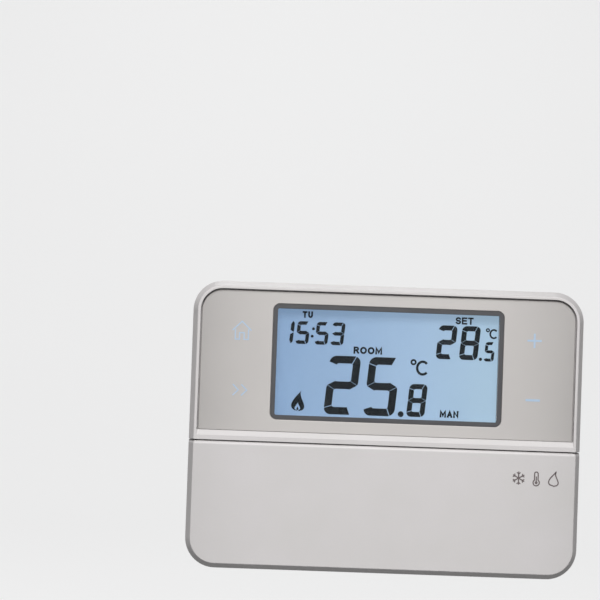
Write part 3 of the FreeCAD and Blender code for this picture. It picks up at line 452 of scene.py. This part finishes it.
def paint_end_shade(material, reach, share):
    """Painted shade on a long face toward both ends: its colour is scaled down by a share that
    grows with the fourth power of the way out from the middle."""
    tree = material.node_tree
    shader = tree.nodes["Principled BSDF"]
    colour = shader.inputs["Base Color"].links[0].from_socket
    place = tree.nodes["Texture Coordinate"].outputs["Object"]
    along = put(tree, "ShaderNodeSeparateXYZ", [("Vector", place)]).outputs["X"]
    way = product_of(tree, along, 1 / (reach * MM))
    fourth = put(tree, "ShaderNodeMath", [(0, way), (1, 4.0)], operation="POWER").outputs[0]
    # The colour made darker toward both ends: painted shade, not a tone of the plastic.
    end_shaded_colour = scaled_colour(tree, colour, sum_of(tree, fourth, -share, 1.0))
    tree.links.new(end_shaded_colour, shader.inputs["Base Color"])
    return material


def ramp_of(tree, share, stops):
    """A colour ramp through stops of (place, colour)."""
    ramp = put(tree, "ShaderNodeValToRGB", [("Fac", share)])
    points = ramp.color_ramp.elements
    for place, colour in stops[2:]:
        points.new(place)
    for point, (place, colour) in zip(points, sorted(stops)):
        point.position = place
        point.color = tint(*colour)
    return ramp.outputs["Color"]


def lit_glass(left, right):
    """The front glass of the display with its backlight on: blue that pales from the left end,
    where it is deepest, to the right, with soft slanting streaks that are painted reflection."""
    material, tree, shader, place = new_finish(
        "lit_display_glass", Emission_Strength=GLOW, Specular_IOR_Level=0.2)
    axes = put(tree, "ShaderNodeSeparateXYZ", [("Vector", place)])
    along = spread_of(tree, axes.outputs["X"], left * MM, right * MM)
    # Slanting streaks of painted reflection, mixed into the display's colour and glow.
    reflection_slant = put(tree, "ShaderNodeMapping", [("Vector", place), ("Rotation", (0.0, 0.6, 0.0)),
                                               ("Scale", (1.0, 1.0, 0.12))]).outputs[0]
    reflection_streaks = sum_of(tree, noise(tree, reflection_slant, 90.0, 2.0), 1.0, -0.5)
    uneven = sum_of(tree, noise(tree, place, 45.0, 3.0), 1.0, -0.5)
    share = sum_of(tree, reflection_streaks, 0.16, sum_of(tree, uneven, 0.10, along))
    blue = ramp_of(tree, share, [(0.0, DEEP_BLUE), (1.0, PALE_BLUE), (0.25, LEFT_BLUE),
                                 (0.62, SKY_BLUE)])
    tree.links.new(blend_of(tree, UNLIT_SHARE, tint(0, 0, 0), blue), shader.inputs["Base Color"])
    tree.links.new(blue, shader.inputs["Emission Color"])
    tree.links.new(sum_of(tree, noise(tree, place, 3000.0), 0.1, 0.35), shader.inputs["Roughness"])
    return material


def window_glass():
    """The clear window: glass with the faintest waviness, which lets the studio light through
    to the display behind it."""
    material, tree, shader, place = new_finish(
        "clear_window_glass", Base_Color=tint(0.98, 0.99, 1.0), Transmission_Weight=1.0, IOR=1.22)
    tree.links.new(sum_of(tree, noise(tree, place, 900.0), 0.03, 0.01), shader.inputs["Roughness"])
    tree.links.new(raised_by(tree, noise(tree, place, 60.0), 0.05, 0.02), shader.inputs["Normal"])
    ray = tree.nodes.new("ShaderNodeLightPath")
    tree.links.new(sum_of(tree, ray.outputs["Is Shadow Ray"], -0.92, 1.0), shader.inputs["Alpha"])
    return material


def milk_plastic(name, colour, glow):
    """Frosted light guide or lamp body: milky, a little translucent, and faintly lit."""
    material, tree, shader, place = new_finish(
        name, Emission_Color=tint(*colour), Emission_Strength=glow, Subsurface_Weight=0.2,
        Subsurface_Scale=MM)
    values = {"Place": place, "Colour": tint(*colour), "Tone": tint(0.7, 0.8, 0.92),
              "Drift size": 120.0, "Gloss": 0.5}
    join_effect(tree, shader, MOULDED, values, 0.1, 0.03)
    return material


def circuit_board():
    """Green solder mask over copper: straight tracks in two directions show as raised paler
    lines, a grid of plated holes as bright rounds, and the mask itself is glossy and uneven."""
    material, tree, shader, place = new_finish("circuit_board", Coat_Weight=0.4, Coat_Roughness=0.12)
    axes = put(tree, "ShaderNodeSeparateXYZ", [("Vector", place)])
    flat = put(tree, "ShaderNodeCombineXYZ", [("X", axes.outputs["X"]),
                                              ("Y", axes.outputs["Z"])]).outputs[0]
    tracks = put(tree, "ShaderNodeTexBrick", [
        ("Vector", flat), ("Scale", 1.0), ("Mortar Size", 0.32 * MM), ("Brick Width", 9.0 * MM),
        ("Row Height", 1.9 * MM), ("Color1", tint(0, 0, 0)), ("Color2", tint(0, 0, 0)),
        ("Mortar", tint(1, 1, 1))])
    region = spread_of(tree, noise(tree, flat, 70.0, 1.0), 0.47, 0.5)
    copper = product_of(tree, tracks.outputs["Fac"], region)
    holes = put(tree, "ShaderNodeTexVoronoi", [("Vector", flat), ("Scale", 230.0),
                                               ("Randomness", 0.55)])
    hole = spread_of(tree, holes.outputs["Distance"], 0.17, 0.13)
    grain = tree.nodes.new("ShaderNodeGroup")
    grain.node_tree = MOULDED
    for socket, value in (("Colour", tint(0.012, 0.11, 0.05)), ("Tone", tint(0.016, 0.15, 0.065)),
                          ("Drift size", 90.0), ("Gloss", 0.3)):
        grain.inputs[socket].default_value = value
    tree.links.new(place, grain.inputs["Place"])
    masked = blend_of(tree, copper, grain.outputs["Colour"], tint(0.05, 0.30, 0.10))
    tree.links.new(blend_of(tree, hole, masked, tint(0.62, 0.6, 0.5)), shader.inputs["Base Color"])
    tree.links.new(sum_of(tree, hole, 0.7, 0.0), shader.inputs["Metallic"])
    tree.links.new(grain.outputs["Roughness"], shader.inputs["Roughness"])
    tree.links.new(raised_by(tree, sum_of(tree, hole, 1.5, copper), 0.5, 0.04), shader.inputs["Normal"])
    return material


BAND_LENGTH, SLEEVE_RUN = 11.0, (-46.0, 2.0)


def cell_sleeve(tip, nub_side):
    """A battery cell's printed sleeve: dark with a copper-coloured band at its plus end, bare
    bright steel beyond both ends, and shrink wrinkles along it. Lengths along the cell count
    from the tip of the plus end, and are negative toward the other."""
    material, tree, shader, place = new_finish("cell_sleeve_" + ("right" if nub_side > 0 else "left"),
                                               Coat_Weight=0.5, Coat_Roughness=0.2)
    axes = put(tree, "ShaderNodeSeparateXYZ", [("Vector", place)])
    along = sum_of(tree, axes.outputs["X"], nub_side / MM, -nub_side * tip)
    band = spread_of(tree, along, -BAND_LENGTH, 0.1 - BAND_LENGTH)
    bare, covered = (1, 1, 1), (0, 0, 0)
    ends = ramp_of(tree, spread_of(tree, along, *SLEEVE_RUN),
                   [(0.0, bare), (1.0, bare), (0.035, covered), (0.92, covered), (0.93, bare)])
    steel = put(tree, "ShaderNodeSeparateColor", [("Color", ends)]).outputs[0]
    lines = noise(tree, stretched(tree, place, (8.0, 1.0, 1.0)), 120.0, 3.0)
    body = blend_of(tree, lines, tint(0.018, 0.022, 0.035), tint(0.035, 0.045, 0.07))
    copper = blend_of(tree, lines, tint(0.52, 0.25, 0.11), tint(0.62, 0.33, 0.16))
    printed = blend_of(tree, band, body, copper)
    tree.links.new(blend_of(tree, steel, printed, tint(0.66, 0.66, 0.65)), shader.inputs["Base Color"])
    tree.links.new(sum_of(tree, band, 0.5, steel), shader.inputs["Metallic"])
    tree.links.new(sum_of(tree, lines, 0.15, 0.22), shader.inputs["Roughness"])
    tree.links.new(raised_by(tree, lines, 0.25, 0.05), shader.inputs["Normal"])
    return material


def striped_rubber():
    """The zebra strip: fine conducting and plain layers of silicone in turn along its length."""
    material, tree, shader, place = new_finish("striped_rubber", Specular_IOR_Level=0.3)
    wave = put(tree, "ShaderNodeTexWave", [("Vector", place), ("Scale", 1500.0), ("Distortion", 0.3)],
               wave_type="BANDS", bands_direction="X")
    layers = spread_of(tree, wave.outputs["Fac"], 0.45, 0.55)
    values = {"Place": place, "Colour": tint(0.03, 0.03, 0.035), "Tone": tint(0.05, 0.05, 0.05),
              "Gloss": 0.7}
    group = join_effect(tree, shader, MOULDED, values, 0.2, 0.02, colour=False)
    tree.links.new(blend_of(tree, layers, group.outputs["Colour"], tint(0.30, 0.28, 0.27)),
                   shader.inputs["Base Color"])
    return material


def open_foam():
    """Conducting foam of the touch pads: rounded pores of three parts of a millimetre."""
    material, tree, shader, place = new_finish("open_foam", Specular_IOR_Level=0.2)
    cells = put(tree, "ShaderNodeTexVoronoi", [("Vector", place), ("Scale", 2600.0)])
    pores = cells.outputs["Distance"]
    values = {"Place": place, "Colour": tint(0.04, 0.04, 0.045), "Tone": tint(0.09, 0.09, 0.10),
              "Gloss": 0.85}
    group = join_effect(tree, shader, MOULDED, values, 0.3, 0.05, colour=False)
    tree.links.new(blend_of(tree, spread_of(tree, pores, 0.1, 0.7), tint(0.015, 0.015, 0.017),
                            group.outputs["Colour"]), shader.inputs["Base Color"])
    tree.links.new(raised_by(tree, pores, 0.9, 0.15), shader.inputs["Normal"])
    return material


def printed_ink(name, colour, tone, glow=0.0, shine=0.3):
    """Screen-printed ink: a thin even film with slightly uneven cover."""
    material, tree, shader, place = new_finish(name, Emission_Color=tint(*colour), Emission_Strength=glow,
                                               Specular_IOR_Level=shine)
    values = {"Place": place, "Colour": tint(*colour), "Tone": tint(*tone), "Drift size": 600.0,
              "Grain size": 9000.0, "Gloss": 0.75}
    join_effect(tree, shader, MOULDED, values, 0.1, 0.01)
    return material


# Tones of the lit display from its left end to its right, and how much of it is the backlight.
DEEP_BLUE, LEFT_BLUE = (0.25, 0.385, 0.59), (0.29, 0.43, 0.63)
SKY_BLUE, PALE_BLUE = (0.36, 0.51, 0.70), (0.40, 0.56, 0.70)
GLOW, UNLIT_SHARE = 0.70, 0.18

frame_low, frame_high = (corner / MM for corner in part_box("display_frame"))
glass_front = -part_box("lcd_front_glass")[0].y / MM
SIGHT_X, SIGHT_Z = (frame_low.x + frame_high.x) / 2, (frame_low.z + frame_high.z) / 2
upper_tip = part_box("battery_upper")[1].x / MM
lower_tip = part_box("battery_lower")[0].x / MM

# The panel and the cover get painted shade toward their ends; the housing's rim doesn't.
FACE_REACH = (cad_box[1].x - cad_box[0].x) / 2 / MM
FACE_COLOUR, FACE_TONE = (0.66, 0.635, 0.635), (0.63, 0.61, 0.60)
cover_finish = plastic("cover_plastic", FACE_COLOUR, FACE_TONE, gloss=0.42)
panel_finish = plastic("panel_plastic", (0.60, 0.575, 0.555), (0.575, 0.55, 0.535), gloss=0.36,
                       grain=6500.0, speckle=0.03, bump=0.05)
FINISHES = {
    plastic("casing_plastic", FACE_COLOUR, FACE_TONE, gloss=0.42): ["front_housing"],
    paint_end_shade(cover_finish, FACE_REACH, share=0.10): ["lower_cover"],
    paint_end_shade(panel_finish, FACE_REACH, share=0.32): ["fascia_panel"],
    plastic("back_plastic", (0.66, 0.645, 0.635), (0.63, 0.62, 0.61), gloss=0.5, grain=3000.0,
            bump=0.2): ["rear_cover", "wall_plate"],
    plastic("frame_plastic", (0.070, 0.070, 0.076), (0.085, 0.085, 0.09), gloss=0.4, drift=90.0,
            speckle=0.12): ["display_frame"],
    window_glass(): ["display_window"],
    lit_glass(frame_low.x, frame_high.x): ["lcd_front_glass"],
    plastic("rear_glass", (0.40, 0.50, 0.60), (0.44, 0.54, 0.62), gloss=0.12, grain=800.0,
            Coat_Weight=0.6): ["lcd_rear_glass"],
    milk_plastic("frosted_guide", (0.72, 0.82, 0.92), 0.15): ["backlight_diffuser"],
    milk_plastic("lamp_body", (0.85, 0.88, 0.75), 0.4): ["backlight_leds"],
    plastic("holder_plastic", (0.74, 0.74, 0.72), (0.70, 0.70, 0.68), gloss=0.5): ["display_holder"],
    striped_rubber(): ["zebra_strip"],
    plastic("gasket_rubber", (0.035, 0.035, 0.038), (0.05, 0.05, 0.05), gloss=0.75,
            grain=2500.0): ["display_gasket"],
    open_foam(): ["touch_pads"],
    circuit_board(): ["main_board"],
    plastic("chip_epoxy", (0.02, 0.02, 0.022), (0.03, 0.03, 0.03), gloss=0.55, grain=5000.0,
            speckle=0.3): ["controller_chip"],
    metal("drawn_can", (0.72, 0.72, 0.74), (0.5, 0.5, 0.5), (1.0, 1.0, 6.0)): [
        "clock_crystal", "capacitors"],
    plastic("relay_shell", (0.02, 0.025, 0.04), (0.03, 0.035, 0.05), gloss=0.35,
            speckle=0.2): ["relay"],
    plastic("dipped_bead", (0.02, 0.02, 0.02), (0.035, 0.03, 0.03), gloss=0.2, grain=900.0,
            Coat_Weight=0.5): ["temperature_sensor"],
    plastic("header_plastic", (0.02, 0.02, 0.022), (0.03, 0.03, 0.032), gloss=0.5): [
        "pin_header", "reset_switch"],
    plastic("button_plastic", (0.16, 0.165, 0.175), (0.19, 0.19, 0.20), gloss=0.5,
            speckle=0.1): ["reset_button", "reset_plunger"],
    plastic("tray_plastic", (0.58, 0.57, 0.56), (0.55, 0.54, 0.53), gloss=0.5,
            grain=3000.0): ["battery_tray"],
    cell_sleeve(upper_tip, 1.0): ["battery_upper"],
    cell_sleeve(lower_tip, -1.0): ["battery_lower"],
    metal("sprung_nickel", (0.78, 0.77, 0.74), (0.55, 0.54, 0.5), (1.0, 1.0, 3.0), 0.2): [
        "battery_plates", "battery_springs"],
    metal("zinc_steel", (0.62, 0.63, 0.66), (0.45, 0.44, 0.42), (1.0, 5.0, 1.0), 0.3): [
        "case_screws", "board_screws", "terminal_screws"],
    metal("bright_brass", (0.75, 0.55, 0.25), (0.5, 0.34, 0.14), (1.0, 1.0, 4.0), 0.25): [
        "terminal_clamps", "contact_strips", "connector_pins"],
    plastic("terminal_plastic", (0.075, 0.15, 0.11), (0.09, 0.17, 0.13), gloss=0.45,
            speckle=0.12): ["terminal_block"],
}
for finish, names in FINISHES.items():
    for name in names:
        nodes[name].data.materials.clear()
        nodes[name].data.materials.append(finish)


# ---------------------------------------------------------------- the display's figures

# Figures stand on the face of the front glass. Places are from the middle of the display.
segment_ink = printed_ink("segment_ink", (0.008, 0.010, 0.012), (0.012, 0.015, 0.017), shine=0.02)
SEGMENT_THICKNESS, LAP = 0.05, 0.002
display_face = glass_front + SEGMENT_THICKNESS
SLANT, ROUND_SHARE = 0.088, 0.95


def on_display(x, z):
    return SIGHT_X + x, SIGHT_Z + z


def display_figures(text, left, base, width, height, stroke, pitch=0.0, gap=0.10):
    x, z = on_display(left, base)
    return figures(text, x, z, width, height, stroke, pitch, stroke * ROUND_SHARE, gap, SLANT)


def display_dot(x, z, radius):
    return dot(*on_display(x, z), radius)


def display_word(text, x, z, height, width, line):
    return word(text, on_display(x, z), height, width, line)


def display_piece(name, grids, lap=0.0):
    mesh_piece(name, shells(grids, display_face, SEGMENT_THICKNESS, lap), segment_ink, "front_unit")


room_figure = dict(base=-15.6, width=9.6, height=18.05, stroke=2.3)
room = display_figures("2", left=-19.1, **room_figure) + display_figures("5", left=-6.9, **room_figure)
room += display_figures("8", left=6.35, base=-15.5, width=5.6, height=10.1, stroke=1.55, gap=0.07)
display_piece("room_temperature_figures", room + [display_dot(4.75, -14.8, radius=0.9)])

clock_figure = dict(height=7.0, stroke=1.08, gap=0.07)
clock = display_figures("1", left=-32.85, base=5.7, width=3.6, **clock_figure)
clock += display_figures("5", left=-28.4, base=5.65, width=3.95, **clock_figure)
clock += display_figures("53", left=-22.5, base=5.65, width=3.95, pitch=4.85, **clock_figure)
clock += [display_dot(x, z, radius=0.45) for x, z in ((-23.25, 8.15), (-22.95, 10.45))]
display_piece("clock_figures", clock)

target = display_figures("28", left=14.8, base=2.55, width=5.7, height=10.4, stroke=1.55, pitch=7.15,
                         gap=0.07)
target += display_figures("5", left=29.6, base=2.3, width=3.05, height=6.0, stroke=0.92, gap=0.07)
display_piece("set_temperature_figures", target + [display_dot(28.65, 2.9, radius=0.5)])


def degree_sign(x, z, size, stroke):
    """A small ring and a capital C, both lines of even width on a circle: the ring goes all
    the way round, and the C, a little taller than wide, stops short of the right on both
    sides."""
    centre = np.array(on_display(x, z))
    ring = arc(centre + np.array([-0.30, 0.29]) * size, 0.125 * size, 0, 344, 24)
    letter = arc(np.array([0.24, -0.03]) * size, 0.32 * size, 42, 318, 40) * [1.0, 1.15]
    return [ribbon(ring, stroke * 0.75, closed=True), ribbon(letter + centre, stroke)]


display_piece("degree_signs", degree_sign(9.75, -0.25, size=5.3, stroke=0.76)
              + degree_sign(31.7, 10.9, size=3.45, stroke=0.55))

words = display_word("TU", -24.85, 14.75, height=2.05, width=3.2, line=0.54)
words += display_word("ROOM", -6.0, 4.35, height=2.2, width=8.8, line=0.56)
words += display_word("SET", 23.4, 14.5, height=2.2, width=5.5, line=0.50)
words += display_word("MAN", 19.6, -14.3, height=2.15, width=5.8, line=0.6)
display_piece("display_words", words, LAP)

# The heating sign: a flame with a small clear flame low inside it, and a dark wick in that.
left_side, right_side = flame_sides(*on_display(-26.75, -15.0), width=4.0, height=6.4, lean=0.8)
hole_left, hole_right = flame_sides(*on_display(-27.0, -14.75), width=1.7, height=2.4, lean=0.1)


def beside(edge, hole):
    """The hole's edge seen from the flame's: at each height of the flame, the hole's x where
    the hole is, and the flame's middle line above and below it."""
    middle = (left_side[:, 0] + right_side[:, 0]) / 2
    inside = (edge[:, 1] > hole[0, 1]) & (edge[:, 1] < hole[-1, 1])
    x = np.where(inside, np.interp(edge[:, 1], hole[:, 1], hole[:, 0]), middle)
    return np.stack([x, edge[:, 1]], axis=1)


wick = flame_sides(*on_display(-27.0, -14.7), width=0.6, height=1.2, lean=0.0)
display_piece("heating_flame", [strip(left_side, beside(left_side, hole_left)),
                                strip(beside(right_side, hole_right), right_side), strip(*wick)], LAP)


# ---------------------------------------------------------------- touch marks and cover marks

panel_face = -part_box("fascia_panel")[0].y / MM
cover_face = -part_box("lower_cover")[0].y / MM
PRINT_THICKNESS = 0.03
TOUCH_X, TOUCH_Z, TOUCH_LINE = 44.8, 9.1, 0.36

touch_ink = printed_ink("touch_mark_ink", (0.38, 0.49, 0.63), (0.41, 0.52, 0.65), 0.12)


def touch_place(side, level):
    return np.array(on_display(side * TOUCH_X, level * TOUCH_Z))


def house(place, line):
    """A roof line over the outline of two walls with a doorway between them."""
    roof = np.array([(-2.9, 0.0), (0.0, 2.8), (2.9, 0.0)])
    walls = np.array([(-2.0, 0.4), (-2.0, -2.7), (-0.7, -2.7), (-0.7, -0.7), (0.7, -0.7), (0.7, -2.7),
                      (2.0, -2.7), (2.0, 0.4)])
    return [ribbon(roof + place, line), ribbon(walls + place, line)]


def double_arrow(place, line):
    """Two open arrowheads, one behind the other."""
    head = np.array([(-0.9, 1.7), (0.8, 0.0), (-0.9, -1.7)])
    return [ribbon(head + place + [step, 0.0], line) for step in (-1.3, 1.3)]


SIGN_BAR = np.array([(-2.2, 0.0), (2.2, 0.0)])


def minus_sign(place, line):
    return [ribbon(SIGN_BAR + place, line)]


def plus_sign(place, line):
    return minus_sign(place, line) + [ribbon(SIGN_BAR[:, ::-1] + place, line)]


touch_marks = house(touch_place(-1, 1), TOUCH_LINE) + double_arrow(touch_place(-1, -1), TOUCH_LINE)
touch_marks += plus_sign(touch_place(1, 1), TOUCH_LINE * 1.6)
touch_marks += minus_sign(touch_place(1, -1), TOUCH_LINE * 1.9)
mesh_piece("touch_marks", shells(touch_marks, panel_face + PRINT_THICKNESS, PRINT_THICKNESS, LAP),
           touch_ink, "front_unit")

# A row of plain signs at the cover's lower right: snowflake, thermometer and flame.
MARK_X, MARK_Z, MARK_STEP, MARK_LINE = 46.6, -13.2, 5.4, 0.36
cover_ink = printed_ink("cover_mark_ink", (0.14, 0.115, 0.115), (0.17, 0.145, 0.145))


def snowflake(place, arm, line):
    """Three lines through the middle, a third of a half turn apart, and a barb that points
    inward near each of their six tips."""
    turns = np.radians([30, 90, 150])
    arms = [np.array([(-math.cos(turn), -math.sin(turn)), (math.cos(turn), math.sin(turn))]) * arm
            for turn in turns]
    grids = [ribbon(path + place, line) for path in arms]
    for turn in np.radians(np.arange(30, 390, 60)):
        tip = np.array([math.cos(turn), math.sin(turn)])
        across = np.array([-tip[1], tip[0]])
        barb = np.stack([tip * 1.75 + across * 0.55, tip * 1.2, tip * 1.75 - across * 0.55])
        grids.append(ribbon(barb + place, line * 0.8))
    return grids


def thermometer(place, line):
    """The outline of a tube with a round top on a bulb, the bulb's filling and its column."""
    outline = np.concatenate([arc((0, 1.5), 0.55, 0, 180, 10), arc((0, -1.2), 0.95, 125, 415, 24)])
    column = np.array([(0.0, -1.0), (0.0, 0.7)])
    return [ribbon(outline + place, line, closed=True), dot(place[0], place[1] - 1.2, 0.45),
            ribbon(column + place, line)]


def flame_outline(place, width, height, lean, line):
    left, right = flame_sides(place[0], place[1] - 2.1, width, height, lean)
    return [ribbon(np.concatenate([left[::2], right[::-2][1:]]), line, closed=True)]


def mark_place(step):
    return np.array([MARK_X + step * MARK_STEP, MARK_Z])


cover_marks = snowflake(mark_place(-1), 2.0, MARK_LINE) + thermometer(mark_place(0), MARK_LINE)
cover_marks += flame_outline(mark_place(1), width=2.9, height=4.3, lean=0.6, line=MARK_LINE)
mesh_piece("cover_signs", shells(cover_marks, cover_face + PRINT_THICKNESS, PRINT_THICKNESS, LAP),
           cover_ink, "cover")


# ---------------------------------------------------------------- studio, light and camera

FLOOR_DROP, FLAT_RADIUS, WALL_RUN, WALL_RISE = 45.0, 900.0, 1400.0, 1300.0
FLOOR_PALENESS, HUB_RADIUS = 0.625, 5.0
centre = (cad_box[0] + cad_box[1]) / 2


def studio_paint():
    """Pale matt paint of the floor. It shows paler to the eye than the light it throws back,
    so that the thermostat's sides stay a shade darker than its face."""
    paint = plastic("studio_paint", (0.30, 0.30, 0.30), (0.29, 0.29, 0.29), gloss=0.9, grain=300.0,
                    drift=2.0, speckle=0.01, bump=0.02, reach=0.5, Emission_Strength=FLOOR_PALENESS)
    tree = paint.node_tree
    seen = tree.nodes.new("ShaderNodeLightPath").outputs["Is Camera Ray"]
    tree.links.new(blend_of(tree, seen, tint(0, 0, 0), tint(1, 1, 1)),
                   tree.nodes["Principled BSDF"].inputs["Emission Color"])
    return paint


def studio_bowl():
    """A floor that curves up all round. The profile is flat out to a radius and then rises as
    one less the cosine of the way along, and it is carried round a full circle."""
    reach = np.linspace(0.0, 1.0, 40)
    radius = np.concatenate([[HUB_RADIUS, FLAT_RADIUS / 2],
                             FLAT_RADIUS + WALL_RUN * np.sin(reach * math.pi / 2)])
    rise = np.concatenate([[0.0, 0.0], WALL_RISE * (1 - np.cos(reach * math.pi / 2))])
    turn = np.linspace(0.0, 2 * math.pi, 97)[:-1]
    points = np.stack([radius[:, None] * np.cos(turn), radius[:, None] * np.sin(turn),
                       rise[:, None] + 0 * turn], axis=2).reshape(-1, 3) * MM
    points += [centre.x, centre.y, cad_box[0].z - FLOOR_DROP * MM]
    n, m = len(radius), len(turn)
    at = np.arange(n * m).reshape(n, m)
    near, far = at[:-1], at[1:]
    faces = np.stack([near, far, np.roll(far, -1, 1), np.roll(near, -1, 1)], axis=2)
    faces = faces.reshape(-1, 4).tolist() + [at[0].tolist()]
    mesh = bpy.data.meshes.new("studio_bowl")
    mesh.from_pydata(points.tolist(), [], faces)
    mesh.polygons.foreach_set("use_smooth", np.ones(len(faces), bool))
    mesh.materials.append(studio_paint())
    bowl = bpy.data.objects.new("studio_bowl", mesh)
    bpy.context.scene.collection.objects.link(bowl)


def soft_box(name, place, width, height, power):
    """An area light at a place from the thermostat's middle, turned to face it."""
    light = bpy.data.lights.new(name, "AREA")
    light.shape = "RECTANGLE"
    light.size, light.size_y, light.energy = width * MM, height * MM, power
    holder = bpy.data.objects.new(name, light)
    holder.location = centre + Vector(place) * MM
    holder.rotation_mode = "QUATERNION"
    holder.rotation_quaternion = (holder.location - centre).to_track_quat("Z", "Y")
    bpy.context.scene.collection.objects.link(holder)


studio_bowl()
soft_box("light_above", (-120.0, -1250.0, 900.0), width=1100.0, height=800.0, power=19.0)
soft_box("light_front", (100.0, -1700.0, 1300.0), width=900.0, height=700.0, power=8.0)
soft_box("light_behind", (-50.0, 1900.0, 1050.0), width=600.0, height=600.0, power=4.5)
soft_box("light_left", (-1600.0, 1000.0, 600.0), width=900.0, height=900.0, power=4.0)
soft_box("light_right", (1600.0, 1000.0, 600.0), width=900.0, height=900.0, power=4.0)

world = bpy.data.worlds.new("studio_air")
world.use_nodes = True
world.node_tree.nodes["Background"].inputs["Color"].default_value = tint(0.97, 0.98, 1.0)
world.node_tree.nodes["Background"].inputs["Strength"].default_value = 0.25
bpy.context.scene.world = world

# The camera stands straight in front of a point left of and above the display, a little
# below it, and is turned about its own line of sight.
AIM_LEFT, AIM_UP, AIM_DISTANCE, LENS = 27.4, 19.0, 800.0, 157.0
LOOK_UP, ROLL = math.radians(1.75), math.radians(2.05)
aim = Vector((SIGHT_X - AIM_LEFT, -cover_face, SIGHT_Z + AIM_UP)) * MM
back = Vector((0.0, -math.cos(LOOK_UP), -math.sin(LOOK_UP)))
level_up = back.cross(Vector((1.0, 0.0, 0.0)))
right = Vector((1.0, 0.0, 0.0)) * math.cos(ROLL) + level_up * math.sin(ROLL)
camera = bpy.data.objects.new("camera", bpy.data.cameras.new("camera"))
camera.data.lens = LENS
camera.data.clip_start = 0.05
camera.matrix_world = Matrix.Translation(aim + back * AIM_DISTANCE * MM) @ Matrix(
    (right, back.cross(right), back)).transposed().to_4x4()
bpy.context.scene.collection.objects.link(camera)
bpy.context.scene.camera = camera
bpy.context.scene.view_settings.view_transform = "Standard"
